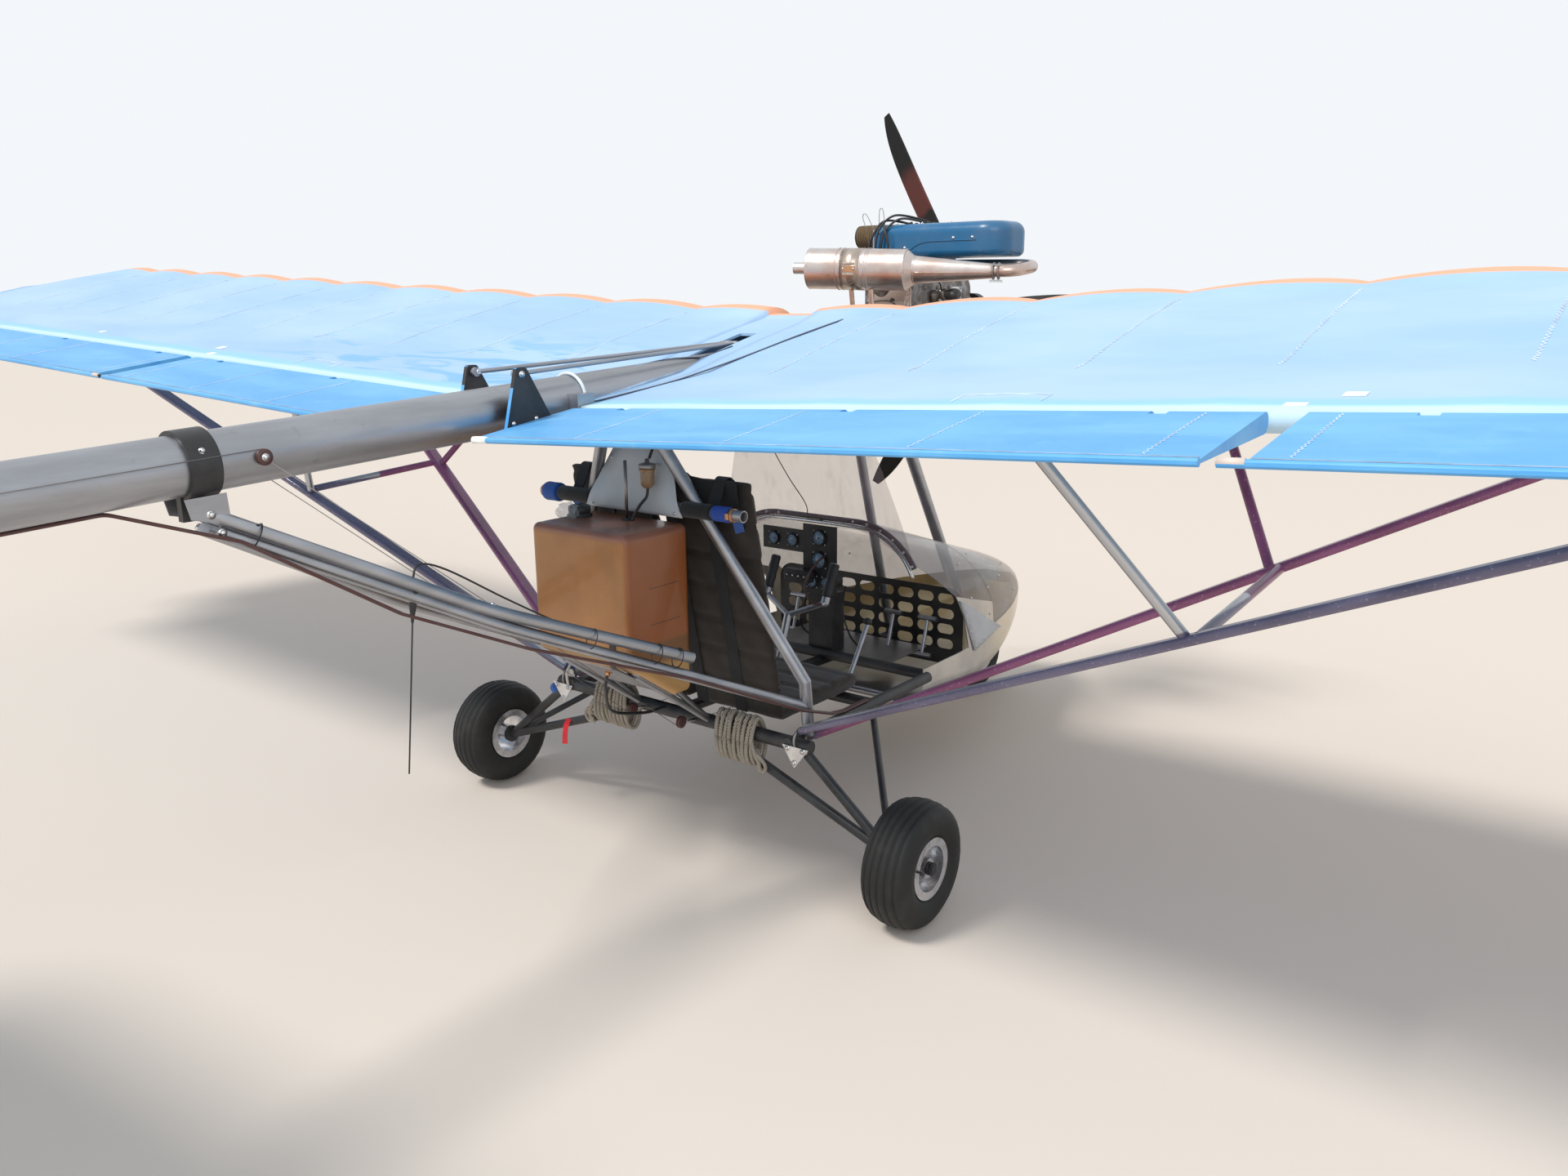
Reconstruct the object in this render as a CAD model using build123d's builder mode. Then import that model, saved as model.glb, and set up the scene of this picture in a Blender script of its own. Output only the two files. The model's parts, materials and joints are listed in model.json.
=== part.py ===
from build123d import *
from math import cos, hypot, radians, sin, sqrt
import os

os.makedirs("parts", exist_ok=True)

# Frame: nose towards -Y, tail towards +Y, port wing towards +X, ground at Z = 0.

# Whole aircraft
length = 5700.0            # nose cap to rudder trailing edge
span = 10160.0
nose_to_axle = 2180.0      # nose cap to main axle
track = 1790.0
axle_y = nose_to_axle - length / 2
clearance = 0.3            # between pieces that meet
gap = 8.0                  # round every moving surface

# Boom
boom_radius = 65.0
boom_rise = 0.055          # nose-up slope as it stands
boom_z_axle = 1498.0       # axis height over the main axle
boom_front = 1500.0        # ahead of the axle
rudder_chord = 480.0
rudder_y = length / 2 - rudder_chord
boom_end_y = rudder_y - 36.0
boom_rear = boom_end_y - axle_y

# Wing
chord_front = 810.0        # leading edge ahead of the axle
chord_rear = 810.0         # trailing edge behind the axle
hinge_rear = 470.0         # flap and aileron hinge behind the axle
wing_root = 100.0          # root face off the centre plane
dihedral = 0.0472          # rise over run
flap_end = 1890.0          # outboard edge of the flap
aileron_start = 1962.0
aileron_tube_start = 1918.0  # the trailing edge tube runs out past the cloth
te_tube_radius = 7.5
aileron_end = 4700.0
tip_start = 4640.0         # where the tip begins to round off
te_z = 1405.0              # trailing edge height at the centre plane
hinge_z = 1437.0           # hinge height at the centre plane
nose_radius_surface = 20.0  # flap and aileron nose
te_thickness = 6.0

# Wheels
wheel_radius = 186.0
tyre_width = 150.0
rim_radius = 90.0
rim_width = 128.0
nose_wheel_radius = 165.0
nose_tyre_width = 104.0
nose_rim_width = 84.0
axle_radius = 12.0

# Cabin
half_cabin = 455.0         # pod half width
longeron_x = 470.0
longeron_z = 450.0
tube_radius = 19.0
pod_wall = 4.0

# Nose leg: one raked line from the boom down to the nose axle
rake_top = (0.0, axle_y - 1175.0, 1500.0)
rake_slope = 0.616         # forward for each unit down
nose_axle_z = nose_wheel_radius
nose_axle_y = rake_top[1] - rake_slope * (rake_top[2] - nose_axle_z)

# Propeller
hub_y = axle_y - 1860.0
hub_z = 1686.0
blade_reach = 905.0
blade_count = 3
hub_back = 10.0            # hub flange behind the disc


def boom_z(y):
    """Height of the boom axis at a station."""
    return boom_z_axle - boom_rise * (y - axle_y)


def finish(piece, name):
    """Label a finished piece and write its file."""
    piece.label = name
    export_step(piece, f"parts/{name}.step")


def tube(start, end, radius):
    """A round tube, closed at its ends, between two points."""
    axis = Vector(*end) - Vector(*start)
    with BuildPart() as bar:
        with BuildSketch(Plane(origin=start, z_dir=axis)):
            Circle(radius)
        extrude(amount=axis.length)
    return bar.part


def bent_tube(points, bend_radius, radius):
    """A round tube along straight runs joined by arcs."""
    with BuildPart() as bar:
        with BuildLine() as path:
            FilletPolyline(*points, radius=bend_radius)
        with BuildSketch(Plane(origin=path.line @ 0, z_dir=path.line % 0)):
            Circle(radius)
        sweep()
    return bar.part


def flat_bar(start, end, width, thickness):
    """A streamline strut: a flat bar with round edges, its width along Y."""
    axis = Vector(*end) - Vector(*start)
    across = Vector(0, 1, 0) - axis.normalized() * axis.normalized().dot(Vector(0, 1, 0))
    with BuildPart() as bar:
        with BuildSketch(Plane(origin=start, x_dir=across, z_dir=axis)):
            SlotOverall(width, thickness)
        extrude(amount=axis.length)
    return bar.part


def box_at(center, size):
    """A plain block with its middle at a point."""
    with BuildPart() as block:
        with Locations(center):
            Box(*size)
    return block.part


# Boom
with BuildPart() as boom:
    add(tube((0, axle_y - boom_front, boom_z(axle_y - boom_front)),
             (0, axle_y + boom_rear, boom_z(axle_y + boom_rear)), boom_radius))
finish(boom.part, "boom")


def boom_space(extra):
    """The boom grown by a clearance, to cut what goes round it."""
    return tube((0, axle_y - boom_front - 20, boom_z(axle_y - boom_front - 20)),
                (0, axle_y + boom_rear + 20, boom_z(axle_y + boom_rear + 20)),
                boom_radius + extra)


# Wing panels: one section, pushed out along the dihedral, and a rounded tip
spar_y = axle_y + hinge_rear - nose_radius_surface - gap
crest_y = axle_y - 600.0
crest_z = 1672.0
lead_y = axle_y - chord_front
lead_z = 1585.0
belly_y = axle_y - 500.0
belly_z = 1488.0
upper_mid = (axle_y, 1528.0)
top_at_spar = hinge_z + nose_radius_surface + 3.0
under_at_spar = hinge_z - nose_radius_surface - 1.0


def wing_section(x, lift, squash=1.0, shift=0.0):
    """The wing section at a station, as a closed face."""
    mid_z = (crest_z + belly_z) / 2

    def place(y, z):
        return (y + shift, mid_z + (z - mid_z) * squash + lift)

    with BuildSketch(Plane(origin=(x, 0, 0), x_dir=(0, 1, 0), z_dir=(1, 0, 0))) as section:
        with BuildLine():
            Line(place(spar_y, under_at_spar), place(spar_y, top_at_spar))
            Line(place(spar_y, top_at_spar), place(*upper_mid))
            ThreePointArc(place(*upper_mid), place(axle_y - 320, 1611), place(crest_y, crest_z))
            ThreePointArc(place(crest_y, crest_z), place(lead_y + 42, 1648), place(lead_y, lead_z))
            ThreePointArc(place(lead_y, lead_z), place(lead_y + 78, 1511), place(belly_y, belly_z))
            Line(place(belly_y, belly_z), place(spar_y, under_at_spar))
        make_face()
    return section.sketch


def run(start, end):
    """Length along the dihedral between two stations."""
    return (end - start) * hypot(1, dihedral)


tip_cap = span / 2
with BuildPart() as wing_left:
    extrude(wing_section(wing_root, dihedral * wing_root), amount=run(wing_root, tip_start),
            dir=(1, 0, dihedral))
    loft([wing_section(tip_start, dihedral * tip_start).face(),
          wing_section(tip_cap, dihedral * tip_cap, squash=0.18).face()])
    with BuildSketch(Plane.XY.offset(belly_z - 300)):
        with BuildLine():
            Line((wing_root - 1, lead_y - 1), (tip_start, lead_y - 1))
            ThreePointArc((tip_start, lead_y - 1),
                          (tip_cap - 130, lead_y + 150), (tip_cap, lead_y + 520))
            Line((tip_cap, lead_y + 520), (tip_cap, axle_y + chord_rear))
            Line((tip_cap, axle_y + chord_rear), (wing_root - 1, axle_y + chord_rear))
            Line((wing_root - 1, axle_y + chord_rear), (wing_root - 1, lead_y - 1))
        make_face()
    extrude(amount=1000, mode=Mode.INTERSECT)


def mirrored(piece):
    """The starboard twin of a port piece."""
    return mirror(piece, about=Plane.YZ)


def surface_section(x, lift):
    """Section of a flap or aileron: round nose on the hinge, thin tail."""
    y0 = axle_y + hinge_rear
    z0 = hinge_z + lift
    y1 = axle_y + chord_rear
    z1 = te_z + lift
    r = nose_radius_surface
    with BuildSketch(Plane(origin=(x, 0, 0), x_dir=(0, 1, 0), z_dir=(1, 0, 0))) as section:
        with BuildLine():
            Line((y0, z0 + r), (y1, z1 + te_thickness / 2))
            Line((y1, z1 + te_thickness / 2), (y1, z1 - te_thickness / 2))
            Line((y1, z1 - te_thickness / 2), (y0, z0 - r))
            ThreePointArc((y0, z0 - r), (y0 - r, z0), (y0, z0 + r))
        make_face()
    return section.sketch


hinge_slot = 34.0
hinge_lug = 18.0
pin_radius = 5.0
lug_radius = 13.0
flap_hinges = (300.0, 1000.0, 1700.0)
aileron_hinges = (2150.0, 2950.0, 3750.0, 4500.0)


def hinge_space(x, width, radius):
    """A short drum round the hinge line at a station."""
    z = hinge_z + dihedral * x
    fall = dihedral * width / 2
    return tube((x - width / 2, axle_y + hinge_rear, z - fall),
                (x + width / 2, axle_y + hinge_rear, z + fall), radius)


def control_surface(start, end, stations, tube_start):
    """A flap or aileron: trailing edge tube, and a slot and a pin at each hinge station."""
    tube_y = axle_y + chord_rear - te_tube_radius
    with BuildPart() as surface:
        extrude(surface_section(start, dihedral * start), amount=run(start, end), dir=(1, 0, dihedral))
        add(tube((tube_start, tube_y, te_z + dihedral * tube_start), (end, tube_y, te_z + dihedral * end),
                 te_tube_radius))
        for x in stations:
            z = hinge_z + dihedral * x
            add(box_at((x, axle_y + hinge_rear - 10, z), (hinge_slot, 60, 60)), mode=Mode.SUBTRACT)
            add(hinge_space(x, hinge_slot + 2, pin_radius))
    return surface.part


def hinge_lugs(stations):
    """Plates that reach from the rear spar round each hinge pin."""
    with BuildPart() as lugs:
        for x in stations:
            z = hinge_z + dihedral * x
            add(hinge_space(x, hinge_lug, lug_radius))
            add(box_at((x, (spar_y - 20 + axle_y + hinge_rear) / 2, z),
                       (hinge_lug, axle_y + hinge_rear - spar_y + 20, 2 * lug_radius)))
            add(hinge_space(x, hinge_lug + 2, pin_radius + clearance), mode=Mode.SUBTRACT)
    return lugs.part


with BuildPart() as wing_left_whole:
    add(wing_left.part)
    add(hinge_lugs(flap_hinges + aileron_hinges))
finish(wing_left_whole.part, "wing_left")
finish(mirrored(wing_left_whole.part), "wing_right")

# Flaps with their horns, and ailerons
horn_x = 92.0
horn_y = axle_y + 640.0
horn_height = 149.0
with BuildPart() as flap_left:
    add(control_surface(wing_root + 2, flap_end, flap_hinges, wing_root + 2))
    with BuildSketch(Plane(origin=(horn_x, 0, 0), x_dir=(0, 1, 0), z_dir=(1, 0, 0))):
        with BuildLine():
            Polyline((axle_y + 540, 1432), (axle_y + 700, 1418), (horn_y + 16, 1428 + horn_height),
                     (horn_y - 16, 1428 + horn_height), close=True)
        make_face()
    extrude(amount=wing_root + 3 - horn_x)
finish(flap_left.part, "flap_left")
finish(mirrored(flap_left.part), "flap_right")

with BuildPart() as aileron_left:
    add(control_surface(aileron_start, aileron_end, aileron_hinges, aileron_tube_start))
finish(aileron_left.part, "aileron_left")
finish(mirrored(aileron_left.part), "aileron_right")

# Cover over the boom between the wing roots
cover_thickness = 5.0
cover_rear = axle_y + 390.0
cover_half = wing_root - clearance
rod_front = (16.0, axle_y - 300.0, 1602.0)
pocket_front = axle_y - 400.0
pocket_rear = axle_y - 140.0
pocket_width = 70.0
with BuildPart() as centre_cover:
    with BuildSketch(Plane(origin=(-cover_half, 0, 0), x_dir=(0, 1, 0), z_dir=(1, 0, 0))):
        with BuildLine():
            Line((cover_rear, 1471), upper_mid)
            ThreePointArc(upper_mid, (axle_y - 320, 1611), (crest_y, crest_z))
            ThreePointArc((crest_y, crest_z), (lead_y + 42, 1648), (lead_y, lead_z))
            Line((lead_y, lead_z), (lead_y + 30, lead_z))
            ThreePointArc((lead_y + 30, lead_z), (lead_y + 62, 1636), (crest_y, crest_z - 12))
            ThreePointArc((crest_y, crest_z - 12), (axle_y - 322, 1604), (axle_y, 1528 - 6))
            Line((axle_y, 1528 - 6), (cover_rear, 1471 - 6))
            Line((cover_rear, 1471 - 6), (cover_rear, 1471))
        make_face()
    extrude(amount=2 * cover_half)
    add(boom_space(clearance), mode=Mode.SUBTRACT)
    add(box_at((0, (pocket_front + pocket_rear) / 2, rod_front[2]),
               (pocket_width, pocket_rear - pocket_front, 120)), mode=Mode.SUBTRACT)
finish(centre_cover.part, "centre_cover")

# Brackets that carry the wing roots on the boom
with BuildPart() as wing_brackets:
    for y, height in ((axle_y - 745.0, 70.0), (axle_y + 420.0, 44.0)):
        with Locations((0, y, boom_z(y))):
            Box(2 * cover_half, 60, height)
    add(boom_space(clearance), mode=Mode.SUBTRACT)
finish(wing_brackets.part, "wing_brackets")

# Flap push rods, from the horns into the centre cover
rod_radius = 6.0
rod_rear = (horn_x - 12.0, horn_y, 1428 + horn_height - 16)
with BuildPart() as flap_rods:
    for side in (1, -1):
        start = (side * rod_front[0], rod_front[1], rod_front[2])
        end = (side * rod_rear[0], rod_rear[1], rod_rear[2])
        add(tube(start, end, rod_radius))
        add(tube((side * (rod_rear[0] - 5), rod_rear[1], rod_rear[2]),
                 (side * (rod_rear[0] + 5), rod_rear[1], rod_rear[2]), 12.0))
    shaft_half = pocket_width / 2 - clearance
    add(tube((-shaft_half, rod_front[1], rod_front[2]), (shaft_half, rod_front[1], rod_front[2]), 7))
finish(flap_rods.part, "flap_rods")

# Lift struts and their jury struts
strut_top_x = 2930.0
front_top = (strut_top_x, axle_y - 745.0, 1488.0 + 75 + dihedral * strut_top_x)
rear_top = (strut_top_x, axle_y + 400.0, 1440.0 + dihedral * strut_top_x)
front_root = (505.0, axle_y - 75.0, 462.0)
rear_root = (512.0, axle_y - 5.0, 500.0)
jury_share = 0.487
brace_share = 0.497
jury_top_x = 1365.0
jury_radius = 13.0


def along(start, end, share):
    """A point part of the way between two points."""
    return tuple(a + (b - a) * share for a, b in zip(start, end))


jury_lines = (
    # foot on the lift strut, top inside the wing
    (along(front_root, front_top, jury_share), (jury_top_x, axle_y - 745.0, 1580.0)),
    (along(rear_root, rear_top, jury_share), (jury_top_x, axle_y + 425.0, 1500.0)),
    (along(front_root, front_top, brace_share), along(rear_root, rear_top, brace_share)),
)
with BuildPart() as lift_struts:
    add(flat_bar(front_root, front_top, 56, 26))
    add(flat_bar(rear_root, rear_top, 50, 24))
    for foot, top in jury_lines:
        add(tube(foot, top, jury_radius))
    add(wing_left.part, mode=Mode.SUBTRACT)
    mirror(about=Plane.YZ)

# Inverted V of tubes behind the seats, with the shoulder tube
v_top = (58.0, axle_y + 185.0, 1452.0)
v_knee = (500.0, axle_y - 25.0, 640.0)
v_foot = (500.0, axle_y - 45.0, 470.0)
shoulder_y = axle_y + 140.0
shoulder_z = 1150.0
with BuildPart() as rear_frame:
    for side in (1, -1):
        top, knee, foot = [(side * p[0], p[1], p[2]) for p in (v_top, v_knee, v_foot)]
        add(tube(top, knee, tube_radius))
        add(tube(knee, foot, tube_radius))
        with Locations(knee):
            Sphere(tube_radius)
    add(tube((-414, shoulder_y, shoulder_z), (414, shoulder_y, shoulder_z), 17))
    add(boom_space(clearance), mode=Mode.SUBTRACT)
    add(lift_struts.part, mode=Mode.SUBTRACT)
finish(rear_frame.part, "rear_frame")
finish(lift_struts.part, "lift_struts")

# Lower frame: longerons, cross tubes and keel
cross_z = 448.0
front_cross_y = axle_y - 802.0
seat_cross_y = axle_y - 430.0
front_cross_half = half_cabin - pod_wall - clearance
pod_rear = axle_y - 780.0
keel_reach = 1300.0
keel_fall = 40.0
keel_front = (0.0, axle_y - keel_reach, cross_z - keel_fall)
with BuildPart() as lower_frame:
    for side in (1, -1):
        add(tube((side * longeron_x, axle_y + 20, longeron_z),
                 (side * longeron_x, pod_rear + clearance, longeron_z), tube_radius))
    add(tube((-540, axle_y, cross_z), (540, axle_y, cross_z), tube_radius + 3))
    add(tube((-front_cross_half, front_cross_y, cross_z), (front_cross_half, front_cross_y, cross_z),
             tube_radius))
    add(tube((-longeron_x, seat_cross_y, longeron_z), (longeron_x, seat_cross_y, longeron_z), tube_radius))
    add(tube((0, axle_y, cross_z), keel_front, tube_radius))
    add(rear_frame.part, mode=Mode.SUBTRACT)
    add(lift_struts.part, mode=Mode.SUBTRACT)
finish(lower_frame.part, "lower_frame")

# Front struts: the centre post and the raked nose tube
post_top = (0.0, axle_y - 930.0, boom_z(axle_y - 930.0))
post_foot = (0.0, axle_y - 1278.0, 410.0)
nose_tube_foot = (0.0, nose_axle_y + rake_slope * 208.0, nose_axle_z + 208.0)
nose_tube_radius = 24.0
post_radius = 18.0
stem_radius = 15.0
with BuildPart() as front_struts:
    add(tube(post_top, post_foot, post_radius))
    add(tube(rake_top, nose_tube_foot, nose_tube_radius))
    add(tube(along(nose_tube_foot, rake_top, -0.01), along(nose_tube_foot, rake_top, 0.07),
             stem_radius + clearance), mode=Mode.SUBTRACT)
    add(boom_space(clearance), mode=Mode.SUBTRACT)
    add(lower_frame.part, mode=Mode.SUBTRACT)
finish(front_struts.part, "front_struts")

# Pod: a lofted shell, cut open behind a curved edge
pod_rows = (
    # station ahead of the axle, half width, bottom, top, shoulder radius, floor radius
    (axle_y - pod_rear, half_cabin, 330.0, 972.0, 280.0, 80.0),
    (1120.0, 450.0, 312.0, 868.0, 250.0, 90.0),
    (1450.0, 400.0, 300.0, 768.0, 205.0, 110.0),
    (1800.0, 290.0, 345.0, 664.0, 150.0, 105.0),
    (2060.0, 160.0, 410.0, 568.0, 76.0, 66.0),
    (nose_to_axle, 70.0, 452.0, 520.0, 30.0, 28.0),
)


def pod_section(half, tall, shoulder, floor_bend):
    """A pod section round its own middle: big upper corners, smaller lower ones."""
    up = shoulder * (1 - sqrt(0.5))
    low = floor_bend * (1 - sqrt(0.5))
    with BuildSketch() as section:
        with BuildLine():
            Line((-half + floor_bend, -tall), (half - floor_bend, -tall))
            ThreePointArc((half - floor_bend, -tall), (half - low, -tall + low), (half, -tall + floor_bend))
            Line((half, -tall + floor_bend), (half, tall - shoulder))
            ThreePointArc((half, tall - shoulder), (half - up, tall - up), (half - shoulder, tall))
            Line((half - shoulder, tall), (-half + shoulder, tall))
            ThreePointArc((-half + shoulder, tall), (-half + up, tall - up), (-half, tall - shoulder))
            Line((-half, tall - shoulder), (-half, -tall + floor_bend))
            ThreePointArc((-half, -tall + floor_bend), (-half + low, -tall + low),
                          (-half + floor_bend, -tall))
        make_face()
    return section.sketch


def pod_solid(inset):
    """The pod as a solid, or its inside with a wall taken off."""
    with BuildPart() as solid:
        for ahead, half, low, high, corner, floor_bend in pod_rows:
            reach = ahead - inset if ahead == nose_to_axle else ahead
            plane = Plane(origin=(0, axle_y - reach, (low + high) / 2), x_dir=(1, 0, 0),
                          z_dir=(0, -1, 0))
            with BuildSketch(plane):
                add(pod_section(half - inset, (high - low) / 2 - inset, corner - inset, floor_bend - inset))
        loft()
    return solid.part


seam_top = (axle_y - 1180.0, 900.0)
seam_low = (axle_y - 1330.0, 600.0)
sill_z = 475.0


def side_prism(points, start=-700.0, width=1400.0):
    """A prism across the aircraft over a side-view outline."""
    with BuildPart() as prism:
        with BuildSketch(Plane(origin=(start, 0, 0), x_dir=(0, 1, 0), z_dir=(1, 0, 0))):
            with BuildLine():
                Polyline(*points, close=True)
            make_face()
        extrude(amount=width)
    return prism.part


pod_shell = pod_solid(0.0) - pod_solid(pod_wall)
entry_cut = side_prism(((axle_y - 700, 1100), (axle_y - 740, 872), (axle_y - 860, 790),
                        (axle_y - 1000, 690), (axle_y - 1060, 600), (axle_y - 1105, sill_z),
                        (axle_y - 700, sill_z)))
window_space = side_prism(((axle_y - 700, 1100), (axle_y - 740, 872), (axle_y - 860, 790),
                           (axle_y - 1000, 690), seam_low, seam_top, (axle_y - 1180, 1100)))
bubble_low = 505.0
bubble_tip = axle_y - nose_to_axle - 10.0
bubble_space = side_prism(((axle_y - 1180, 1100), seam_top, seam_low, (axle_y - 1352, bubble_low),
                           (bubble_tip, bubble_low), (bubble_tip, 1100)))
with BuildPart() as pod:
    add(pod_shell)
    add(entry_cut, mode=Mode.SUBTRACT)
    add(window_space, mode=Mode.SUBTRACT)
    add(bubble_space, mode=Mode.SUBTRACT)
    add(tube(rake_top, nose_tube_foot, nose_tube_radius + 2), mode=Mode.SUBTRACT)
    add(tube(nose_tube_foot, (0, nose_axle_y, nose_axle_z), nose_tube_radius + 14), mode=Mode.SUBTRACT)
finish(pod.part, "pod")

with BuildPart() as nose_bubble:
    add(pod_shell)
    add(bubble_space, mode=Mode.INTERSECT)
    add(tube(rake_top, nose_tube_foot, nose_tube_radius + 2), mode=Mode.SUBTRACT)
    add(tube(post_top, post_foot, post_radius + 2), mode=Mode.SUBTRACT)
finish(nose_bubble.part, "nose_bubble")

with BuildPart() as cowl_window:
    add(pod_shell)
    add(entry_cut, mode=Mode.SUBTRACT)
    add(window_space, mode=Mode.INTERSECT)
    add(tube(rake_top, nose_tube_foot, nose_tube_radius + 2), mode=Mode.SUBTRACT)
    add(tube(post_top, post_foot, post_radius + 2), mode=Mode.SUBTRACT)
finish(cowl_window.part, "cowl_window")

# Bulkhead ahead of the pedals: a plate with rows of oval openings, stood on the keel
bulkhead_y = axle_y - 1100.0
bulkhead_half = 425.0
bulkhead_low = 395.0
bulkhead_high = 690.0
opening_columns, opening_rows = 9, 4
with BuildPart() as nose_bulkhead:
    with BuildSketch(Plane(origin=(0, bulkhead_y, (bulkhead_low + bulkhead_high) / 2), x_dir=(1, 0, 0),
                           z_dir=(0, -1, 0))):
        RectangleRounded(2 * bulkhead_half, bulkhead_high - bulkhead_low, 60)
        with Locations((0, 18)):
            with GridLocations(88, 58, opening_columns, opening_rows):
                SlotOverall(70, 38, mode=Mode.SUBTRACT)
    extrude(amount=4)
    add(lower_frame.part, mode=Mode.SUBTRACT)
finish(nose_bulkhead.part, "nose_bulkhead")

# Dash hoop: a bent tube along the rear rim of the pod
hoop_radius = 10.0
rim_half, rim_top, rim_corner = pod_rows[0][1], pod_rows[0][3], pod_rows[0][4]
bend = rim_corner - pod_wall / 2
bend_x, bend_z = rim_half - rim_corner, rim_top - rim_corner
hoop_plane = Plane(origin=(0, pod_rear + hoop_radius + clearance, 0), x_dir=(1, 0, 0), z_dir=(0, -1, 0))


def on_bend(angle, side):
    """A point on the corner bend of the hoop."""
    a = radians(angle)
    return side * (bend_x + bend * cos(a)), bend_z + bend * sin(a)


with BuildPart() as dash_hoop:
    with BuildLine(hoop_plane) as path:
        ThreePointArc(on_bend(30, -1), on_bend(60, -1), on_bend(90, -1))
        Line(on_bend(90, -1), on_bend(90, 1))
        ThreePointArc(on_bend(90, 1), on_bend(60, 1), on_bend(30, 1))
    with BuildSketch(Plane(origin=path.line @ 0, z_dir=path.line % 0)):
        Circle(hoop_radius)
    sweep()
finish(dash_hoop.part, "dash_hoop")

# Windshield: a thin raked sheet from the hoop up to the boom
screen_thickness = 7.0     # measured upright, about 3 mm through the sheet
screen_top_y = axle_y - 640.0
screen_top_half = 215.0
screen_top_z = 1446.0


def arch_band(y, half, foot, crown):
    """A thin arch, open below, as a section of the windshield."""
    plane = Plane(origin=(0, y, 0), x_dir=(1, 0, 0), z_dir=(0, -1, 0))
    with BuildSketch(plane) as band:
        with BuildLine():
            ThreePointArc((-half, foot), (0, crown), (half, foot))
            Line((half, foot), (half, foot + screen_thickness))
            ThreePointArc((half, foot + screen_thickness), (0, crown + screen_thickness),
                          (-half, foot + screen_thickness))
            Line((-half, foot + screen_thickness), (-half, foot))
        make_face()
    return band.sketch.face()


with BuildPart() as windshield:
    loft([arch_band(pod_rear + 2 * hoop_radius + 2 * clearance, 425, 830, rim_top - 2),
          arch_band((pod_rear + screen_top_y) / 2 + hoop_radius, 330, 1150, 1240),
          arch_band(screen_top_y, screen_top_half, screen_top_z, screen_top_z + 12)])
    add(boom_space(clearance), mode=Mode.SUBTRACT)
finish(windshield.part, "windshield")

# Instrument panel: a centre column, a side block and the gauge cans
panel_y = pod_rear - 30.0
panel_x = 15.0
gauge_rows = (
    # across, height, radius
    (panel_x, 884.0, 30.0),
    (panel_x, 800.0, 33.0),
    (panel_x + 34, 716.0, 26.0),
    (panel_x - 34, 716.0, 26.0),
    (226.0, 862.0, 26.0),
    (138.0, 862.0, 26.0),
)
with BuildPart() as instrument_panel:
    add(box_at((panel_x, panel_y, 800), (150, 6, 260)))
    add(box_at((180, panel_y, 862), (196, 6, 84)))
    add(box_at((panel_x, panel_y - 40, 552), (110, 74, 246)))
    for x, z, radius in gauge_rows:
        add(tube((x, panel_y + 9, z), (x, panel_y - 62, z), radius))
    add(lower_frame.part, mode=Mode.SUBTRACT)
finish(instrument_panel.part, "instrument_panel")

# Seats: two slings that lean on the shoulder tube and lie on the cross tubes
seat_width = 348.0
seat_inner = 22.0
pan_z = longeron_z + tube_radius + clearance
seat_side = (
    # behind the axle, height
    (-92.0, pan_z + 54), (-470.0, pan_z + 54), (-496.0, pan_z + 34), (-480.0, pan_z),
    (-78.0, pan_z), (72.0, 1225.0), (46.0, 1232.0),
)
with BuildPart() as seats:
    for side in (1, -1):
        start_x = seat_inner if side > 0 else -seat_inner - seat_width
        with BuildSketch(Plane(origin=(start_x, axle_y, 0), x_dir=(0, 1, 0), z_dir=(1, 0, 0))):
            with BuildLine():
                Polyline(*seat_side, close=True)
            make_face()
        extrude(amount=seat_width)
    add(rear_frame.part, mode=Mode.SUBTRACT)
finish(seats.part, "seats")

# Fuel tank on its tray, with the filler neck and vent
tank_half = 195.0
tank_front = axle_y + 130.0
tank_rear = axle_y + 390.0
tank_low = 597.0
tank_high = 1108.0
tank_heel = (tank_front + 70.0, tank_low)
tank_back = (tank_rear, 730.0)
tank_bend = 20.0


def tank_outline(drop):
    """Side-view outline of the tank, let down by a distance."""
    return ((tank_front, tank_low - drop), (tank_heel[0], tank_heel[1] - drop),
            (tank_back[0], tank_back[1] - drop), (tank_rear, tank_high), (tank_front, tank_high))


with BuildPart() as fuel_tank:
    add(side_prism(tank_outline(0), -tank_half, 2 * tank_half))
    fillet(fuel_tank.edges(), tank_bend)
finish(fuel_tank.part, "fuel_tank")

tray_thickness = 3.0
tray_rear = along((0, *tank_heel), (0, *tank_back), 0.7)
with BuildPart() as tank_tray:
    add(side_prism(((tank_front + tank_bend, tank_low + 10), (tank_front + tank_bend, tank_low - tray_thickness),
                    (tank_heel[0], tank_low - tray_thickness), (tray_rear[1], tray_rear[2] - tray_thickness),
                    (tray_rear[1], tray_rear[2] + 10)), 20 - tank_half, 2 * tank_half - 40))
    for side in (1, -1):
        add(tube((side * 150, tray_rear[1] - 10, tray_rear[2] - 8), (side * 150, axle_y, cross_z), 10))
        add(tube((side * 150, tank_front + 40, tank_low + 10), (side * 150, axle_y, cross_z), 10))
    add(side_prism(tank_outline(clearance)), mode=Mode.SUBTRACT)
    add(lower_frame.part, mode=Mode.SUBTRACT)
finish(tank_tray.part, "tank_tray")

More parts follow.
